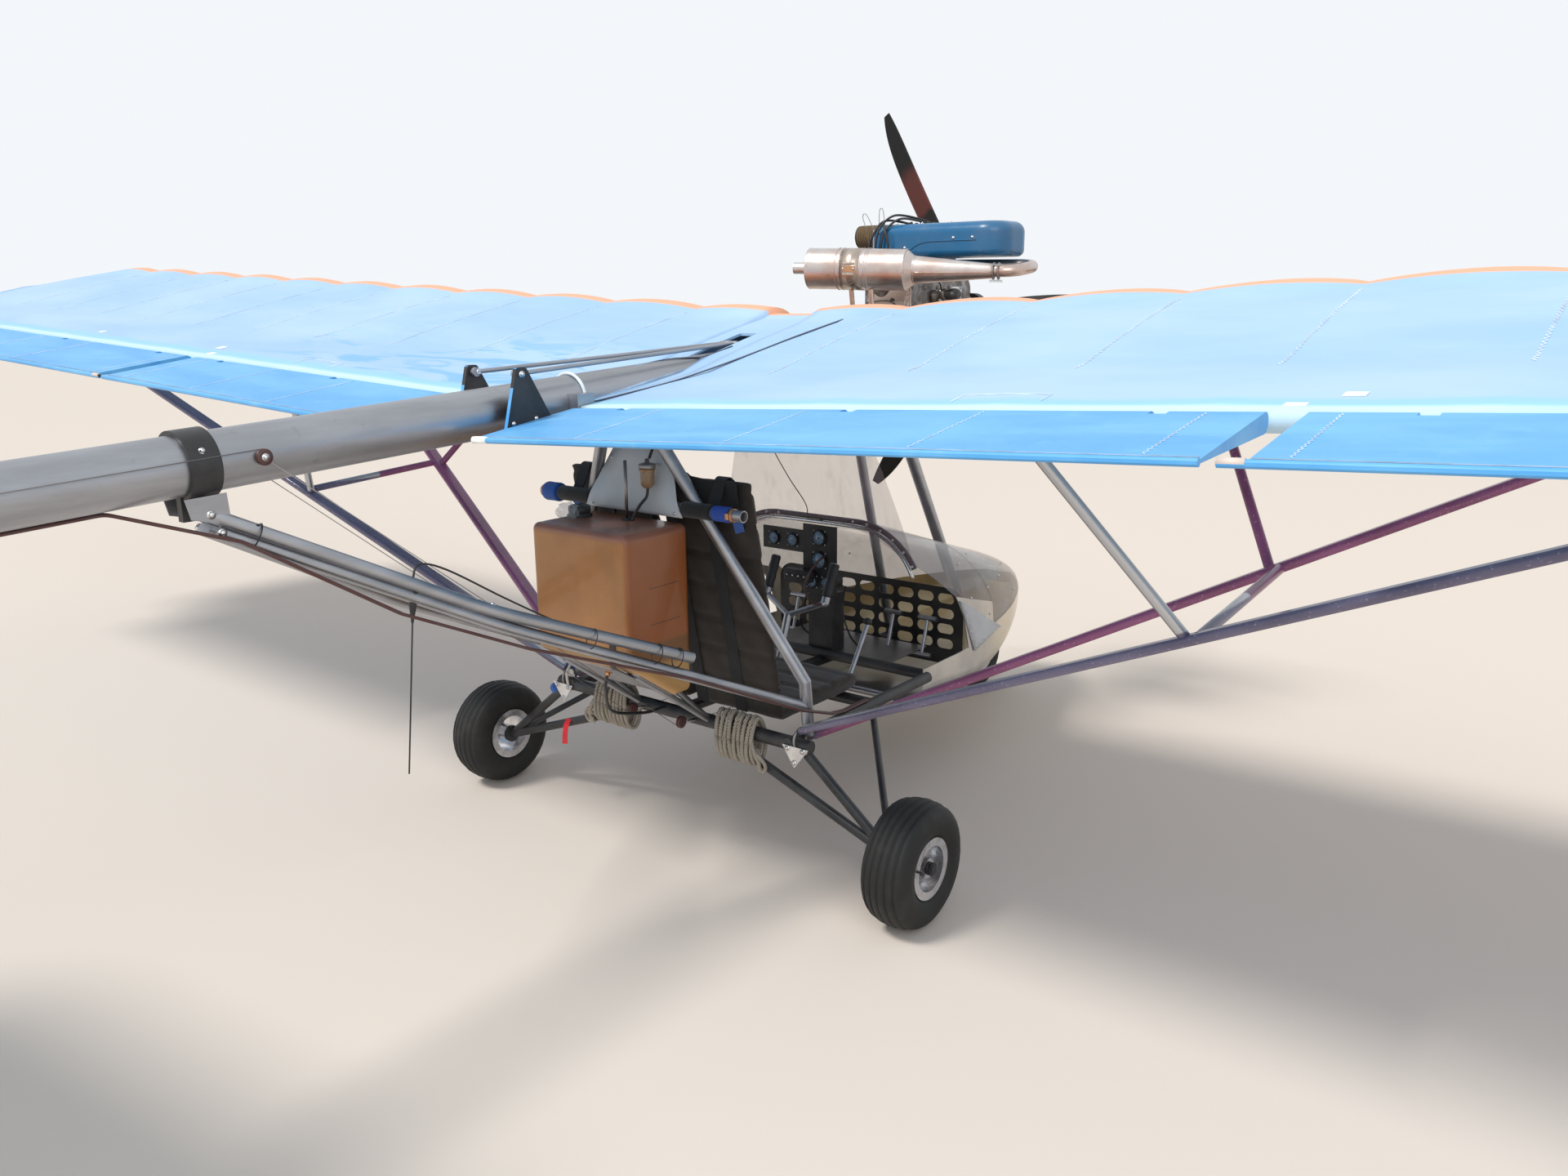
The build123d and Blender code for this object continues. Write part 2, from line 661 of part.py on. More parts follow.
# Panel between the V tubes above the tank
with BuildPart() as rear_panel:
    lean = (v_top[1] - v_knee[1]) / (v_top[2] - v_knee[2])
    spread = (v_knee[0] - v_top[0]) / (v_top[2] - v_knee[2])
    low_z, high_z = 1125.0, 1335.0
    panel_low = v_top[0] + spread * (v_top[2] - low_z) - tube_radius
    panel_high = v_top[0] + spread * (v_top[2] - high_z) - tube_radius
    with BuildSketch(Plane(origin=(0, v_top[1] - lean * (v_top[2] - low_z), low_z), x_dir=(1, 0, 0),
                           z_dir=(0, -1, lean))):
        with BuildLine():
            slope = hypot(1, lean) * (high_z - low_z)
            Polyline((-panel_low, 0), (panel_low, 0), (panel_high, slope), (-panel_high, slope),
                     close=True)
        make_face()
    extrude(amount=3, both=True)
    add(rear_frame.part, mode=Mode.SUBTRACT)
finish(rear_panel.part, "rear_panel")

# Boom clamp and the two braces down to the V frame
clamp_y = axle_y + 1457.0
clamp_wall = 10.0
clamp_length = 66.0
with BuildPart() as boom_clamp:
    start = (0, clamp_y - clamp_length / 2, boom_z(clamp_y - clamp_length / 2))
    end = (0, clamp_y + clamp_length / 2, boom_z(clamp_y + clamp_length / 2))
    add(tube(start, end, boom_radius + clamp_wall))
    add(box_at((0, clamp_y, boom_z(clamp_y) - boom_radius - 24), (20, clamp_length, 60)))
    add(boom_space(clearance), mode=Mode.SUBTRACT)
finish(boom_clamp.part, "boom_clamp")

brace_radius = 16.0
brace_bend = 2000.0
brace_lines = (
    # bracket end, bend and lower end: across, behind the axle, height
    ((30.0, 1449.0, 1314.0), (215.0, 868.0, 1004.0), (384.0, 337.0, 784.0)),
    ((30.0, 1430.0, 1272.0), (218.0, 838.0, 958.0), (500.0, -30.0, 560.0)),
)
brace_plate_x = 46.5
with BuildPart() as boom_braces:
    for line in brace_lines:
        add(bent_tube([(x, axle_y + y, z) for x, y, z in line], brace_bend, brace_radius))
    add(side_prism(((clamp_y - 46, boom_z(clamp_y) - 62), (clamp_y + 44, boom_z(clamp_y) - 66),
                    (clamp_y + 34, boom_z(clamp_y) - 110), (clamp_y - 50, boom_z(clamp_y) - 132)),
                   brace_plate_x, 3.0))
    mirror(about=Plane.YZ)
    add(tube((-brace_plate_x, clamp_y - 8, brace_lines[0][0][2]),
             (brace_plate_x, clamp_y - 8, brace_lines[0][0][2]), 6))
    add(boom_clamp.part, mode=Mode.SUBTRACT)
    add(boom_space(clearance), mode=Mode.SUBTRACT)
    add(rear_frame.part, mode=Mode.SUBTRACT)
finish(boom_braces.part, "boom_braces")

# Main gear: legs from hub to frame on each side, and the axles
half_track = track / 2
hub_plate_x = half_track - tyre_width / 2 + 12
hub_width = 110.0
leg_radius = 15.0
with BuildPart() as gear_legs:
    for side in (1, -1):
        hub = (side * (hub_plate_x - 7), axle_y, wheel_radius)
        add(tube(hub, (side * 250, axle_y, 396), leg_radius))
        add(tube(hub, (side * 500, axle_y, cross_z), leg_radius))
        add(tube(hub, (side * longeron_x, seat_cross_y, longeron_z), 11))
        add(tube((side * (hub_plate_x - 8), axle_y, wheel_radius), (side * (half_track - hub_width / 2 - 2),
                 axle_y, wheel_radius), 30))
        add(tube((side * (hub_plate_x - 8), axle_y, wheel_radius),
                 (side * (half_track + hub_width / 2 + 16), axle_y, wheel_radius), axle_radius))
        add(tube((side * (half_track + hub_width / 2 + 2), axle_y, wheel_radius),
                 (side * (half_track + hub_width / 2 + 14), axle_y, wheel_radius), 19))
    add(lower_frame.part, mode=Mode.SUBTRACT)
    add(rear_frame.part, mode=Mode.SUBTRACT)
    add(lift_struts.part, mode=Mode.SUBTRACT)
finish(gear_legs.part, "gear_legs")

# Bungee cord bundles that hang the inner leg ends from the cross tube
with BuildPart() as bungees:
    for side in (1, -1):
        with BuildSketch(Plane(origin=(side * 295 - 55, axle_y, 422), x_dir=(0, 0, 1), z_dir=(1, 0, 0))):
            SlotOverall(160, 84)
            SlotOverall(130, 54, mode=Mode.SUBTRACT)
        extrude(amount=110)
    add(gear_legs.part, mode=Mode.SUBTRACT)
    add(lower_frame.part, mode=Mode.SUBTRACT)
finish(bungees.part, "bungees")


def wheel_plane(center):
    """A plane through the wheel axis, across the wheel and outwards."""
    return Plane(origin=center, x_dir=(1, 0, 0), z_dir=(0, -1, 0))


def make_rim(center, width, flange, bead, hub_length, bore):
    """A cast three-spoke wheel rim."""
    with BuildPart() as rim:
        with BuildSketch(wheel_plane(center)):
            with BuildLine():
                Polyline((-width / 2, bead - 14), (-width / 2, flange), (-width / 2 + 8, flange),
                         (-width / 2 + 12, bead), (width / 2 - 12, bead), (width / 2 - 8, flange),
                         (width / 2, flange), (width / 2, bead - 14), close=True)
            make_face()
        revolve(axis=Axis(center, (1, 0, 0)))
        add(tube(Vector(*center) - Vector(hub_length / 2, 0, 0),
                 Vector(*center) + Vector(hub_length / 2, 0, 0), bore + 16))
        with BuildSketch(Plane(origin=Vector(*center) - Vector(7, 0, 0), x_dir=(0, 1, 0),
                               z_dir=(1, 0, 0))):
            with PolarLocations(0, 3, start_angle=90):
                with Locations(((bead - 2) / 2, 0)):
                    Rectangle(bead - 2, 26)
        extrude(amount=14)
        add(tube(Vector(*center) - Vector(hub_length, 0, 0),
                 Vector(*center) + Vector(hub_length, 0, 0), bore), mode=Mode.SUBTRACT)
    return rim.part


def make_tyre(center, radius, width, bead, rim):
    """A tyre as one closed ring on its rim."""
    seat = width / 2 - 22
    with BuildPart() as tyre:
        with BuildSketch(wheel_plane(center)):
            with BuildLine():
                Line((seat, bead), (-seat, bead))
                ThreePointArc((-seat, bead), (-width / 2, (bead + radius) / 2 - 4),
                              (-width / 2 + 24, radius - 10))
                ThreePointArc((-width / 2 + 24, radius - 10), (0, radius), (width / 2 - 24, radius - 10))
                ThreePointArc((width / 2 - 24, radius - 10), (width / 2, (bead + radius) / 2 - 4),
                              (seat, bead))
            make_face()
        revolve(axis=Axis(center, (1, 0, 0)))
        add(rim, mode=Mode.SUBTRACT)
    return tyre.part


bead_radius = rim_radius - 10.0
for name, side in (("left", 1), ("right", -1)):
    wheel_center = (side * half_track, axle_y, wheel_radius)
    rim_part = make_rim(wheel_center, rim_width, rim_radius, bead_radius, hub_width,
                        axle_radius + clearance)
    finish(rim_part, f"rim_{name}")
    finish(make_tyre(wheel_center, wheel_radius, tyre_width, bead_radius, rim_part), f"tyre_{name}")

nose_center = (0.0, nose_axle_y, nose_axle_z)
nose_hub = 96.0
nose_axle_radius = 8.0
nose_rim = make_rim(nose_center, nose_rim_width, 84, 74, nose_hub, nose_axle_radius + clearance)
finish(nose_rim, "nose_rim")
finish(make_tyre(nose_center, nose_wheel_radius, nose_tyre_width, 74, nose_rim), "nose_tyre")

# Nose fork: axle, two blades, crown and a stem that turns in the raked tube
fork_x = 68.0


def on_rake(distance):
    """A point up the steering axis from the nose axle."""
    share = distance / hypot(1, rake_slope)
    return (0.0, nose_axle_y + rake_slope * share, nose_axle_z + share)


crown = on_rake(194)
tube_end = 208.0 * hypot(1, rake_slope)
with BuildPart() as nose_fork:
    for side in (1, -1):
        add(tube((side * fork_x, crown[1], crown[2]), (side * fork_x, nose_axle_y, nose_axle_z), 9))
        add(tube((side * (nose_hub / 2 + 1), nose_axle_y, nose_axle_z), (side * (fork_x + 14), nose_axle_y,
                 nose_axle_z), 14))
    add(tube((-fork_x - 9, crown[1], crown[2]), (fork_x + 9, crown[1], crown[2]), 13))
    add(tube((-fork_x - 14, nose_axle_y, nose_axle_z), (fork_x + 14, nose_axle_y, nose_axle_z),
             nose_axle_radius))
    add(tube(crown, on_rake(tube_end - 1), nose_tube_radius - 2))
    add(tube(crown, on_rake(tube_end + 60), stem_radius))
finish(nose_fork.part, "nose_fork")

# Engine: crankcase, two finned cylinders and their heads
case_low = 1702.0
case_high = 1838.0
cylinder_rows = (axle_y - 1330.0, axle_y - 1495.0)
fin_radius = 66.0
head_top = 1878.0
with BuildPart() as engine:
    add(box_at((0, axle_y - 1412, (case_low + case_high) / 2), (190, 400, case_high - case_low)))
    for y in cylinder_rows:
        add(tube((0, y, case_high - 2), (0, y, head_top), 50))
        for level in range(4):
            z = case_high + 5 + level * 9.0
            add(tube((0, y, z), (0, y, z + 3), fin_radius))
finish(engine.part, "engine")

# Engine mount: two saddles on the boom
with BuildPart() as engine_mount:
    for y in (axle_y - 1250.0, axle_y - 1455.0):
        low = boom_z(y)
        add(box_at((0, y, (low + case_low - clearance) / 2), (160, 60, case_low - clearance - low)))
    add(boom_space(clearance), mode=Mode.SUBTRACT)
finish(engine_mount.part, "engine_mount")

# Reduction gearbox and propeller shaft
with BuildPart() as gearbox:
    add(tube((0, axle_y - 1612.3, 1760), (0, axle_y - 1700, 1760), 84))
    add(tube((0, axle_y - 1612.3, hub_z), (0, axle_y - 1790, hub_z), 58))
    add(tube((0, axle_y - 1780, hub_z), (0, hub_y + hub_back + clearance, hub_z), 26))
finish(gearbox.part, "gearbox")

# Propeller: three blades on a hub, turned to the places they stand in
blade_angles = tuple(30.0 + 360.0 / blade_count * i for i in range(blade_count))
blade_rows = (
    # distance from the axis, chord, thickness, pitch in degrees, sweep against the turn
    (40.0, 56.0, 34.0, 38.0, 0.0),
    (190.0, 86.0, 24.0, 30.0, 4.0),
    (440.0, 98.0, 15.0, 20.0, 8.0),
    (680.0, 90.0, 11.0, 15.0, 2.0),
    (830.0, 66.0, 8.0, 12.0, -10.0),
    (blade_reach, 32.0, 5.0, 11.0, -22.0),
)
with BuildPart() as blade:
    for reach, chord, thickness, pitch, sweep_x in blade_rows:
        a = radians(pitch)
        with BuildSketch(Plane(origin=(sweep_x, 0, reach), x_dir=(cos(a), -sin(a), 0), z_dir=(0, 0, 1))):
            SlotOverall(chord, thickness)
    loft()
with BuildPart() as propeller:
    add(tube((0, hub_y + hub_back, hub_z), (0, hub_y - 30, hub_z), 62))
    add(tube((0, hub_y - 29, hub_z), (0, hub_y - 50, hub_z), 36))
    for angle in blade_angles:
        add(blade.part.rotate(Axis.Y, angle).translate((0, hub_y - 8, hub_z)))
finish(propeller.part, "propeller")

# Cooling scoop over the cylinder heads: a rounded duct, open ahead on its starboard half
scoop_height = 124.0
scoop_mid = head_top + clearance + scoop_height / 2
scoop_y = axle_y - 1412.0
scoop_depth = 250.0
scoop_starboard, scoop_port = -432.0, 118.0
scoop_wall = 8.0
mouth_port = -70.0
with BuildPart() as cooling_scoop:
    with Locations(((scoop_starboard + scoop_port) / 2, scoop_y, scoop_mid)):
        Box(scoop_port - scoop_starboard, scoop_depth, scoop_height)
    fillet(cooling_scoop.edges().filter_by(Axis.Z).group_by(Axis.X)[0], 92)
    fillet(cooling_scoop.edges().filter_by(Axis.Z).group_by(Axis.X)[-1], 24)
    fillet(cooling_scoop.faces().sort_by(Axis.Z)[-1].edges(), 40)
    fillet(cooling_scoop.faces().sort_by(Axis.Z)[0].edges(), 24)
    with BuildSketch(Plane(origin=((scoop_starboard + 92 + mouth_port) / 2, scoop_y - scoop_depth / 2, scoop_mid),
                           x_dir=(1, 0, 0), z_dir=(0, 1, 0))):
        RectangleRounded(mouth_port - scoop_starboard - 92, scoop_height - 2 * scoop_wall - 24, 24)
    extrude(amount=scoop_depth - 3 * scoop_wall, mode=Mode.SUBTRACT)
finish(cooling_scoop.part, "cooling_scoop")

# Air filter on the carburettor, port side
with BuildPart() as air_filter:
    add(tube((122, axle_y - 1412, 1965), (250, axle_y - 1412, 1965), 42))
    add(tube((186, axle_y - 1412, 1930), (186, axle_y - 1412, 1780), 20))
    add(tube((95.3, axle_y - 1412, 1785), (206, axle_y - 1412, 1785), 26))
finish(air_filter.part, "air_filter")

# Exhaust: canister, cone, tail stub and the pipe to the cylinders
can_start = (200.0, axle_y - 1010.0, 1842.0)
can_end = (-150.0, axle_y - 1115.0, 1832.0)
cone_end = (-450.0, axle_y - 1205.0, 1824.0)
stub_end = (262.0, axle_y - 991.0, 1844.0)
can_radius = 73.0
pipe_radius = 21.0
cone_radius = 50.0
cone_axis = Vector(*cone_end) - Vector(*can_end)
shoulder_end = along(can_end, cone_end, 0.09)
with BuildPart() as muffler:
    add(tube(can_start, can_end, can_radius))
    add(tube(can_start, stub_end, pipe_radius))
    with BuildSketch(Plane(origin=can_end, z_dir=cone_axis)):
        Circle(can_radius - 1)
    with BuildSketch(Plane(origin=shoulder_end, z_dir=cone_axis)):
        Circle(cone_radius)
    loft()
    with BuildSketch(Plane(origin=shoulder_end, z_dir=cone_axis)):
        Circle(cone_radius)
    with BuildSketch(Plane(origin=cone_end, z_dir=cone_axis)):
        Circle(pipe_radius + 4)
    loft()
    add(bent_tube((cone_end, (-520, axle_y - 1226, 1823), (-520, axle_y - 1412, 1845), (-60, axle_y - 1412, 1853)),
                  70, pipe_radius))
    for x in (-28, 58):
        add(tube((x, axle_y - 1062, 1790), (x, axle_y - 1090, 1610), 9))
    add(engine.part, mode=Mode.SUBTRACT)
    add(boom_space(clearance), mode=Mode.SUBTRACT)
finish(muffler.part, "muffler")

# Light panel behind the engine and the flat box ahead of the wing
with BuildPart() as engine_fairing:
    add(box_at((-20, axle_y - 1196, 1671), (178, 4, 102)))
    add(boom_space(clearance), mode=Mode.SUBTRACT)
    add(box_at((-20, axle_y - 1208, 1676), (150, 20, 40)))
    add(engine_mount.part, mode=Mode.SUBTRACT)
    add(engine.part, mode=Mode.SUBTRACT)
    add(boom_space(clearance), mode=Mode.SUBTRACT)
finish(engine_fairing.part, "engine_fairing")

with BuildPart() as battery_box:
    add(box_at((0, axle_y - 940, 1630), (116, 200, 84)))
    add(boom_space(clearance), mode=Mode.SUBTRACT)
finish(battery_box.part, "battery_box")

# Tail: tailplane on the boom, fin above it, elevator and rudder behind them
elevator_y = rudder_y - 130.0
tail_thickness = 30.0
tail_half_span = 1330.0
tail_front = elevator_y - 470.0
elevator_chord = 400.0
tail_plane_origin = (0.0, elevator_y, boom_z(elevator_y))
tail_plane = Plane(origin=tail_plane_origin, x_dir=(1, 0, 0), z_dir=(0, boom_rise, 1))
tail_low = boom_radius * hypot(1, boom_rise) + clearance
surface_gap = 6.0
tail_nose = tail_thickness / 2

with BuildPart() as tailplane:
    with BuildSketch(tail_plane.offset(tail_low)):
        with BuildLine():
            rear = -tail_nose - surface_gap
            front = tail_front - elevator_y
            Line((-tail_half_span, rear), (tail_half_span, rear))
            Line((tail_half_span, rear), (tail_half_span, rear - 120))
            ThreePointArc((tail_half_span, rear - 120), (tail_half_span - 100, rear - 260),
                          (tail_half_span - 330, front + 90))
            Line((tail_half_span - 330, front + 90), (160, front))
            Line((160, front), (-160, front))
            Line((-160, front), (-tail_half_span + 330, front + 90))
            ThreePointArc((-tail_half_span + 330, front + 90), (-tail_half_span + 100, rear - 260),
                          (-tail_half_span, rear - 120))
            Line((-tail_half_span, rear - 120), (-tail_half_span, rear))
        make_face()
    extrude(amount=tail_thickness)


def tail_point(x, along, up):
    """A point in the tilted frame of the tailplane."""
    return tuple(tail_plane.from_local_coords(Vector(x, along, up)))


tail_hinges = (250.0, 760.0, 1240.0)
elevator_up = tail_low + tail_thickness / 2


def elevator_pin(x, width, radius):
    """A short drum round the elevator hinge line."""
    return tube(tail_point(x - width / 2, 0, elevator_up), tail_point(x + width / 2, 0, elevator_up), radius)


def tail_block(x, along, size):
    """A block square to the tilted frame, its middle at elevator height."""
    with BuildPart() as block:
        with BuildSketch(tail_plane.offset(elevator_up - size[2] / 2)):
            with Locations((x, along)):
                Rectangle(size[0], size[1])
        extrude(amount=size[2])
    return block.part


elevator_inner = 70.0
with BuildPart() as elevator_half:
    with BuildSketch(Plane(origin=tail_point(0, 0, elevator_up), x_dir=(0, 1, -boom_rise),
                           z_dir=(1, 0, 0)).offset(elevator_inner)):
        with BuildLine():
            Line((0, tail_nose), (elevator_chord, te_thickness / 2))
            Line((elevator_chord, te_thickness / 2), (elevator_chord, -te_thickness / 2))
            Line((elevator_chord, -te_thickness / 2), (0, -tail_nose))
            ThreePointArc((0, -tail_nose), (-tail_nose, 0), (0, tail_nose))
        make_face()
    extrude(amount=tail_half_span - elevator_inner)
    with BuildSketch(tail_plane):
        with BuildLine():
            Polyline((elevator_inner - 1, -40), (tail_half_span, -40), (tail_half_span, 200),
                     (tail_half_span - 190, elevator_chord), (elevator_inner + 175, elevator_chord),
                     (elevator_inner, 110), (elevator_inner - 1, 110), close=True)
        make_face()
    extrude(amount=300, mode=Mode.INTERSECT)
with BuildPart() as elevator:
    add(elevator_half.part)
    mirror(about=Plane.YZ)
    for x in tail_hinges + tuple(-x for x in tail_hinges):
        add(tail_block(x, -10, (hinge_slot, 60, 60)), mode=Mode.SUBTRACT)
        add(elevator_pin(x, hinge_slot + 2, pin_radius))
    add(elevator_pin(0, 2 * elevator_inner + 4, 11))
finish(elevator.part, "elevator")

with BuildPart() as tailplane_whole:
    add(tailplane.part)
    for x in tail_hinges + tuple(-x for x in tail_hinges):
        add(elevator_pin(x, hinge_lug, 11))
        add(tail_block(x, (rear - 15) / 2, (hinge_lug, -rear + 15, 22)))
        add(elevator_pin(x, hinge_lug + 2, pin_radius + clearance), mode=Mode.SUBTRACT)
    add(tail_block(0, rear, (120, 50, tail_thickness + 10)), mode=Mode.SUBTRACT)
finish(tailplane_whole.part, "tailplane")

# Fin and rudder stand upright on the centre plane
fin_top = 2330.0
fin_foot = 1380.0
rudder_low = 1140.0
fin_front = elevator_y - 430.0
rudder_hinges = (1500.0, 1880.0, 2200.0)
fin_rear = rudder_y - tail_nose - surface_gap


def upright(points, half_thickness):
    """An upright plate over a side-view outline, rounded points given as arcs."""
    with BuildPart() as plate:
        with BuildSketch(Plane(origin=(0, 0, 0), x_dir=(0, 1, 0), z_dir=(1, 0, 0))):
            with BuildLine():
                Polyline(*points, close=True)
            make_face()
        extrude(amount=half_thickness, both=True)
    return plate.part


with BuildPart() as fin:
    add(upright(((fin_front, fin_foot), (fin_rear, fin_foot - 40), (fin_rear, fin_top),
                 (fin_rear - 150, fin_top - 10), (fin_rear - 250, fin_top - 110)), tail_nose))
    for z in rudder_hinges:
        add(tube((0, rudder_y, z - hinge_lug / 2), (0, rudder_y, z + hinge_lug / 2), 11))
        add(box_at((0, (fin_rear + rudder_y - 15) / 2, z), (22, rudder_y - fin_rear + 15, hinge_lug)))
        add(tube((0, rudder_y, z - hinge_lug), (0, rudder_y, z + hinge_lug), pin_radius + clearance),
            mode=Mode.SUBTRACT)
    add(boom_space(clearance), mode=Mode.SUBTRACT)
    add(tailplane_whole.part, mode=Mode.SUBTRACT)
    add(elevator_pin(0, 200, 11 + surface_gap), mode=Mode.SUBTRACT)
    add(tail_block(0, 60, (200, 160 - 2 * rear, tail_thickness + 12)), mode=Mode.SUBTRACT)
finish(fin.part, "fin")

with BuildPart() as rudder:
    add(upright(((rudder_y, rudder_low), (length / 2 - 60, rudder_low + 60), (length / 2, rudder_low + 160),
                 (length / 2, fin_top - 260), (length / 2 - 120, fin_top - 60),
                 (rudder_y + 120, fin_top + 10), (rudder_y, fin_top + 10)), tail_nose))
    add(tube((0, rudder_y, rudder_low), (0, rudder_y, fin_top + 10), tail_nose))
    for z in rudder_hinges:
        add(box_at((0, rudder_y - 10, z), (60, 60, hinge_slot)), mode=Mode.SUBTRACT)
        add(tube((0, rudder_y, z - hinge_slot / 2 - 1), (0, rudder_y, z + hinge_slot / 2 + 1), pin_radius))
finish(rudder.part, "rudder")

# Stays from fin to tailplane and on to the boom
stay_radius = 2.5
stay_y = elevator_y - 60.0
with BuildPart() as tail_stays:
    for side in (1, -1):
        tip = tail_point(side * 1130, stay_y - elevator_y, tail_low + tail_thickness / 2)
        add(tube((side * (tail_nose - 1), stay_y, 2180), tip, stay_radius))
        add(tube((side * 30, stay_y, boom_z(stay_y) - 58), tip, stay_radius))
    add(fin.part, mode=Mode.SUBTRACT)
    add(tailplane_whole.part, mode=Mode.SUBTRACT)
    add(boom_space(clearance), mode=Mode.SUBTRACT)
finish(tail_stays.part, "tail_stays")

# Control cables in their sheaths: under the boom, down the starboard brace, to the longeron
sheath_radius = 4.0
sheath_pitch = 10.0
sheath_gap = 0.5
sheath_under = boom_radius + sheath_radius + sheath_gap
cable_tail = boom_rear - 304.0
cable_route = (
    # across, behind the axle, height
    (0.0, cable_tail, boom_z(axle_y + cable_tail) - sheath_under),
    (0.0, 1640.0, boom_z(axle_y + 1640) - sheath_under),
    (-66.0, 1400.0, 1250.0),
    (-170.0, 1094.0, 1040.0),
    (-262.0, 800.0, 900.0),
    (-400.0, 366.0, 734.0),
    (-530.0, 30.0, 573.0),
    (-530.0, -120.0, 520.0),
    (-longeron_x, -270.0, longeron_z + tube_radius + sheath_radius + sheath_gap - 0.2),
    (-longeron_x, -400.0, longeron_z + tube_radius + sheath_radius + sheath_gap - 0.2),
)
with BuildPart() as control_cables:
    for shift in (sheath_pitch / 2, -sheath_pitch / 2):
        add(bent_tube([(x + shift, axle_y + y, z) for x, y, z in cable_route], 60, sheath_radius))
finish(control_cables.part, "control_cables")

tab_thickness = 12.0
tab_hole = 5.0
with BuildPart() as tail_skid:
    skid_y = boom_end_y - 160
    tab = (0, skid_y + 62, boom_z(skid_y) - 176)
    add(tube((0, skid_y, boom_z(skid_y) - 50), (0, skid_y + 60, boom_z(skid_y) - 170), 8))
    add(box_at(tab, (tab_thickness, 34, 34)))
    add(tube((-20, tab[1], tab[2]), (20, tab[1], tab[2]), tab_hole), mode=Mode.SUBTRACT)
    add(boom_space(clearance), mode=Mode.SUBTRACT)
finish(tail_skid.part, "tail_skid")

# Forked stick on its cross shaft ahead of the seats, a hand lever, and the rudder pedals
stick_y = axle_y - 530.0
stick_fork = (0.0, axle_y - 596.0, 640.0)
grip_x = 131.0
lever_x = -300.0
pedal_ahead = 1020.0
pedal_y = axle_y - pedal_ahead
pedal_z = cross_z - keel_fall * pedal_ahead / keel_reach + tube_radius + 8 + clearance
with BuildPart() as controls:
    add(tube((-longeron_x, stick_y, longeron_z), (longeron_x, stick_y, longeron_z), 10))
    add(tube((0, stick_y, longeron_z), stick_fork, 14))
    with Locations(stick_fork):
        Sphere(14)
    for side in (1, -1):
        elbow = (side * grip_x, axle_y - 640, 694)
        add(tube(stick_fork, elbow, 10))
        with Locations(elbow):
            Sphere(15)
        add(tube(elbow, (side * grip_x, axle_y - 700, 824), 15))
    add(tube((lever_x, stick_y, longeron_z), (lever_x, axle_y - 654, 640), 8))
    add(tube((-340, pedal_y, pedal_z), (340, pedal_y, pedal_z), 8))
    for x in (-300, -150, 150, 300):
        add(tube((x, pedal_y, pedal_z), (x, pedal_y - 40, pedal_z + 130), 7))
        add(tube((x - 38, pedal_y - 40, pedal_z + 130), (x + 38, pedal_y - 40, pedal_z + 130), 10))
    add(seats.part, mode=Mode.SUBTRACT)
    add(lower_frame.part, mode=Mode.SUBTRACT)
finish(controls.part, "controls")

# Whip antenna hanging from the starboard brace, on a cone-shaped base
whip_top = (-152.0, axle_y + 1046.0, 1082.0)
whip_end = (-152.0, axle_y + 1100.0, 640.0)
with BuildPart() as antenna:
    with BuildSketch(Plane(origin=whip_top, z_dir=(0, 0, 1))):
        Circle(14)
    with BuildSketch(Plane(origin=along(whip_top, whip_end, 0.17), z_dir=(0, 0, 1))):
        Circle(3)
    loft()
    add(tube(whip_top, whip_end, 2))
    add(boom_braces.part, mode=Mode.SUBTRACT)
finish(antenna.part, "antenna")
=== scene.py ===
import json
import math
import random
from math import cos, pi, radians, sin

import bmesh
import bpy
from mathutils import Matrix, Vector
from mathutils.bvhtree import BVHTree


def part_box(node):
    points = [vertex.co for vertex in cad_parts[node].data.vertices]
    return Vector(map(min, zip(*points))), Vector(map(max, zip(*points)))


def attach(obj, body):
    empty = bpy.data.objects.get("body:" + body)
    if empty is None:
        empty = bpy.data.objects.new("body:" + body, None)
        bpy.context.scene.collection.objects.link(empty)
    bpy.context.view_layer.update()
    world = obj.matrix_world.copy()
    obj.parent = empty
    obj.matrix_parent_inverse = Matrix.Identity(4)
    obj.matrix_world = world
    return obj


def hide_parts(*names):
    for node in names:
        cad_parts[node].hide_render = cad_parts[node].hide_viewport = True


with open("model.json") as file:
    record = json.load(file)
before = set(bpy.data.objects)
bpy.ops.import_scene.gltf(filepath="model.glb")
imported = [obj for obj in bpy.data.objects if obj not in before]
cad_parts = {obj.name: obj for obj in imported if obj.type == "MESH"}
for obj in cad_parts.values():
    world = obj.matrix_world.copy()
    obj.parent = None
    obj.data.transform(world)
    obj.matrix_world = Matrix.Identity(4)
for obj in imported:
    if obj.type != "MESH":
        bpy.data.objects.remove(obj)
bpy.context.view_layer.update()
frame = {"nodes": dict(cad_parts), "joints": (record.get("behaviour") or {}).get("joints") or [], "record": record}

# From the frame, in metres: x to port, y to the rear, z up
NODES = frame["nodes"]
JOINTS = {joint["name"]: joint for joint in frame["joints"]}
SLOT = {row["node"]: row["material_slot"] for row in frame["record"]["subparts"]}
PROP_HUB = JOINTS["propeller_spin"]["pos_m"]
TYRE_LOW, TYRE_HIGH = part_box("tyre_left")
AXLE_Y = (TYRE_LOW.y + TYRE_HIGH.y) / 2
TRACK_X = (TYRE_LOW.x + TYRE_HIGH.x) / 2
WHEEL_Z = (TYRE_LOW.z + TYRE_HIGH.z) / 2

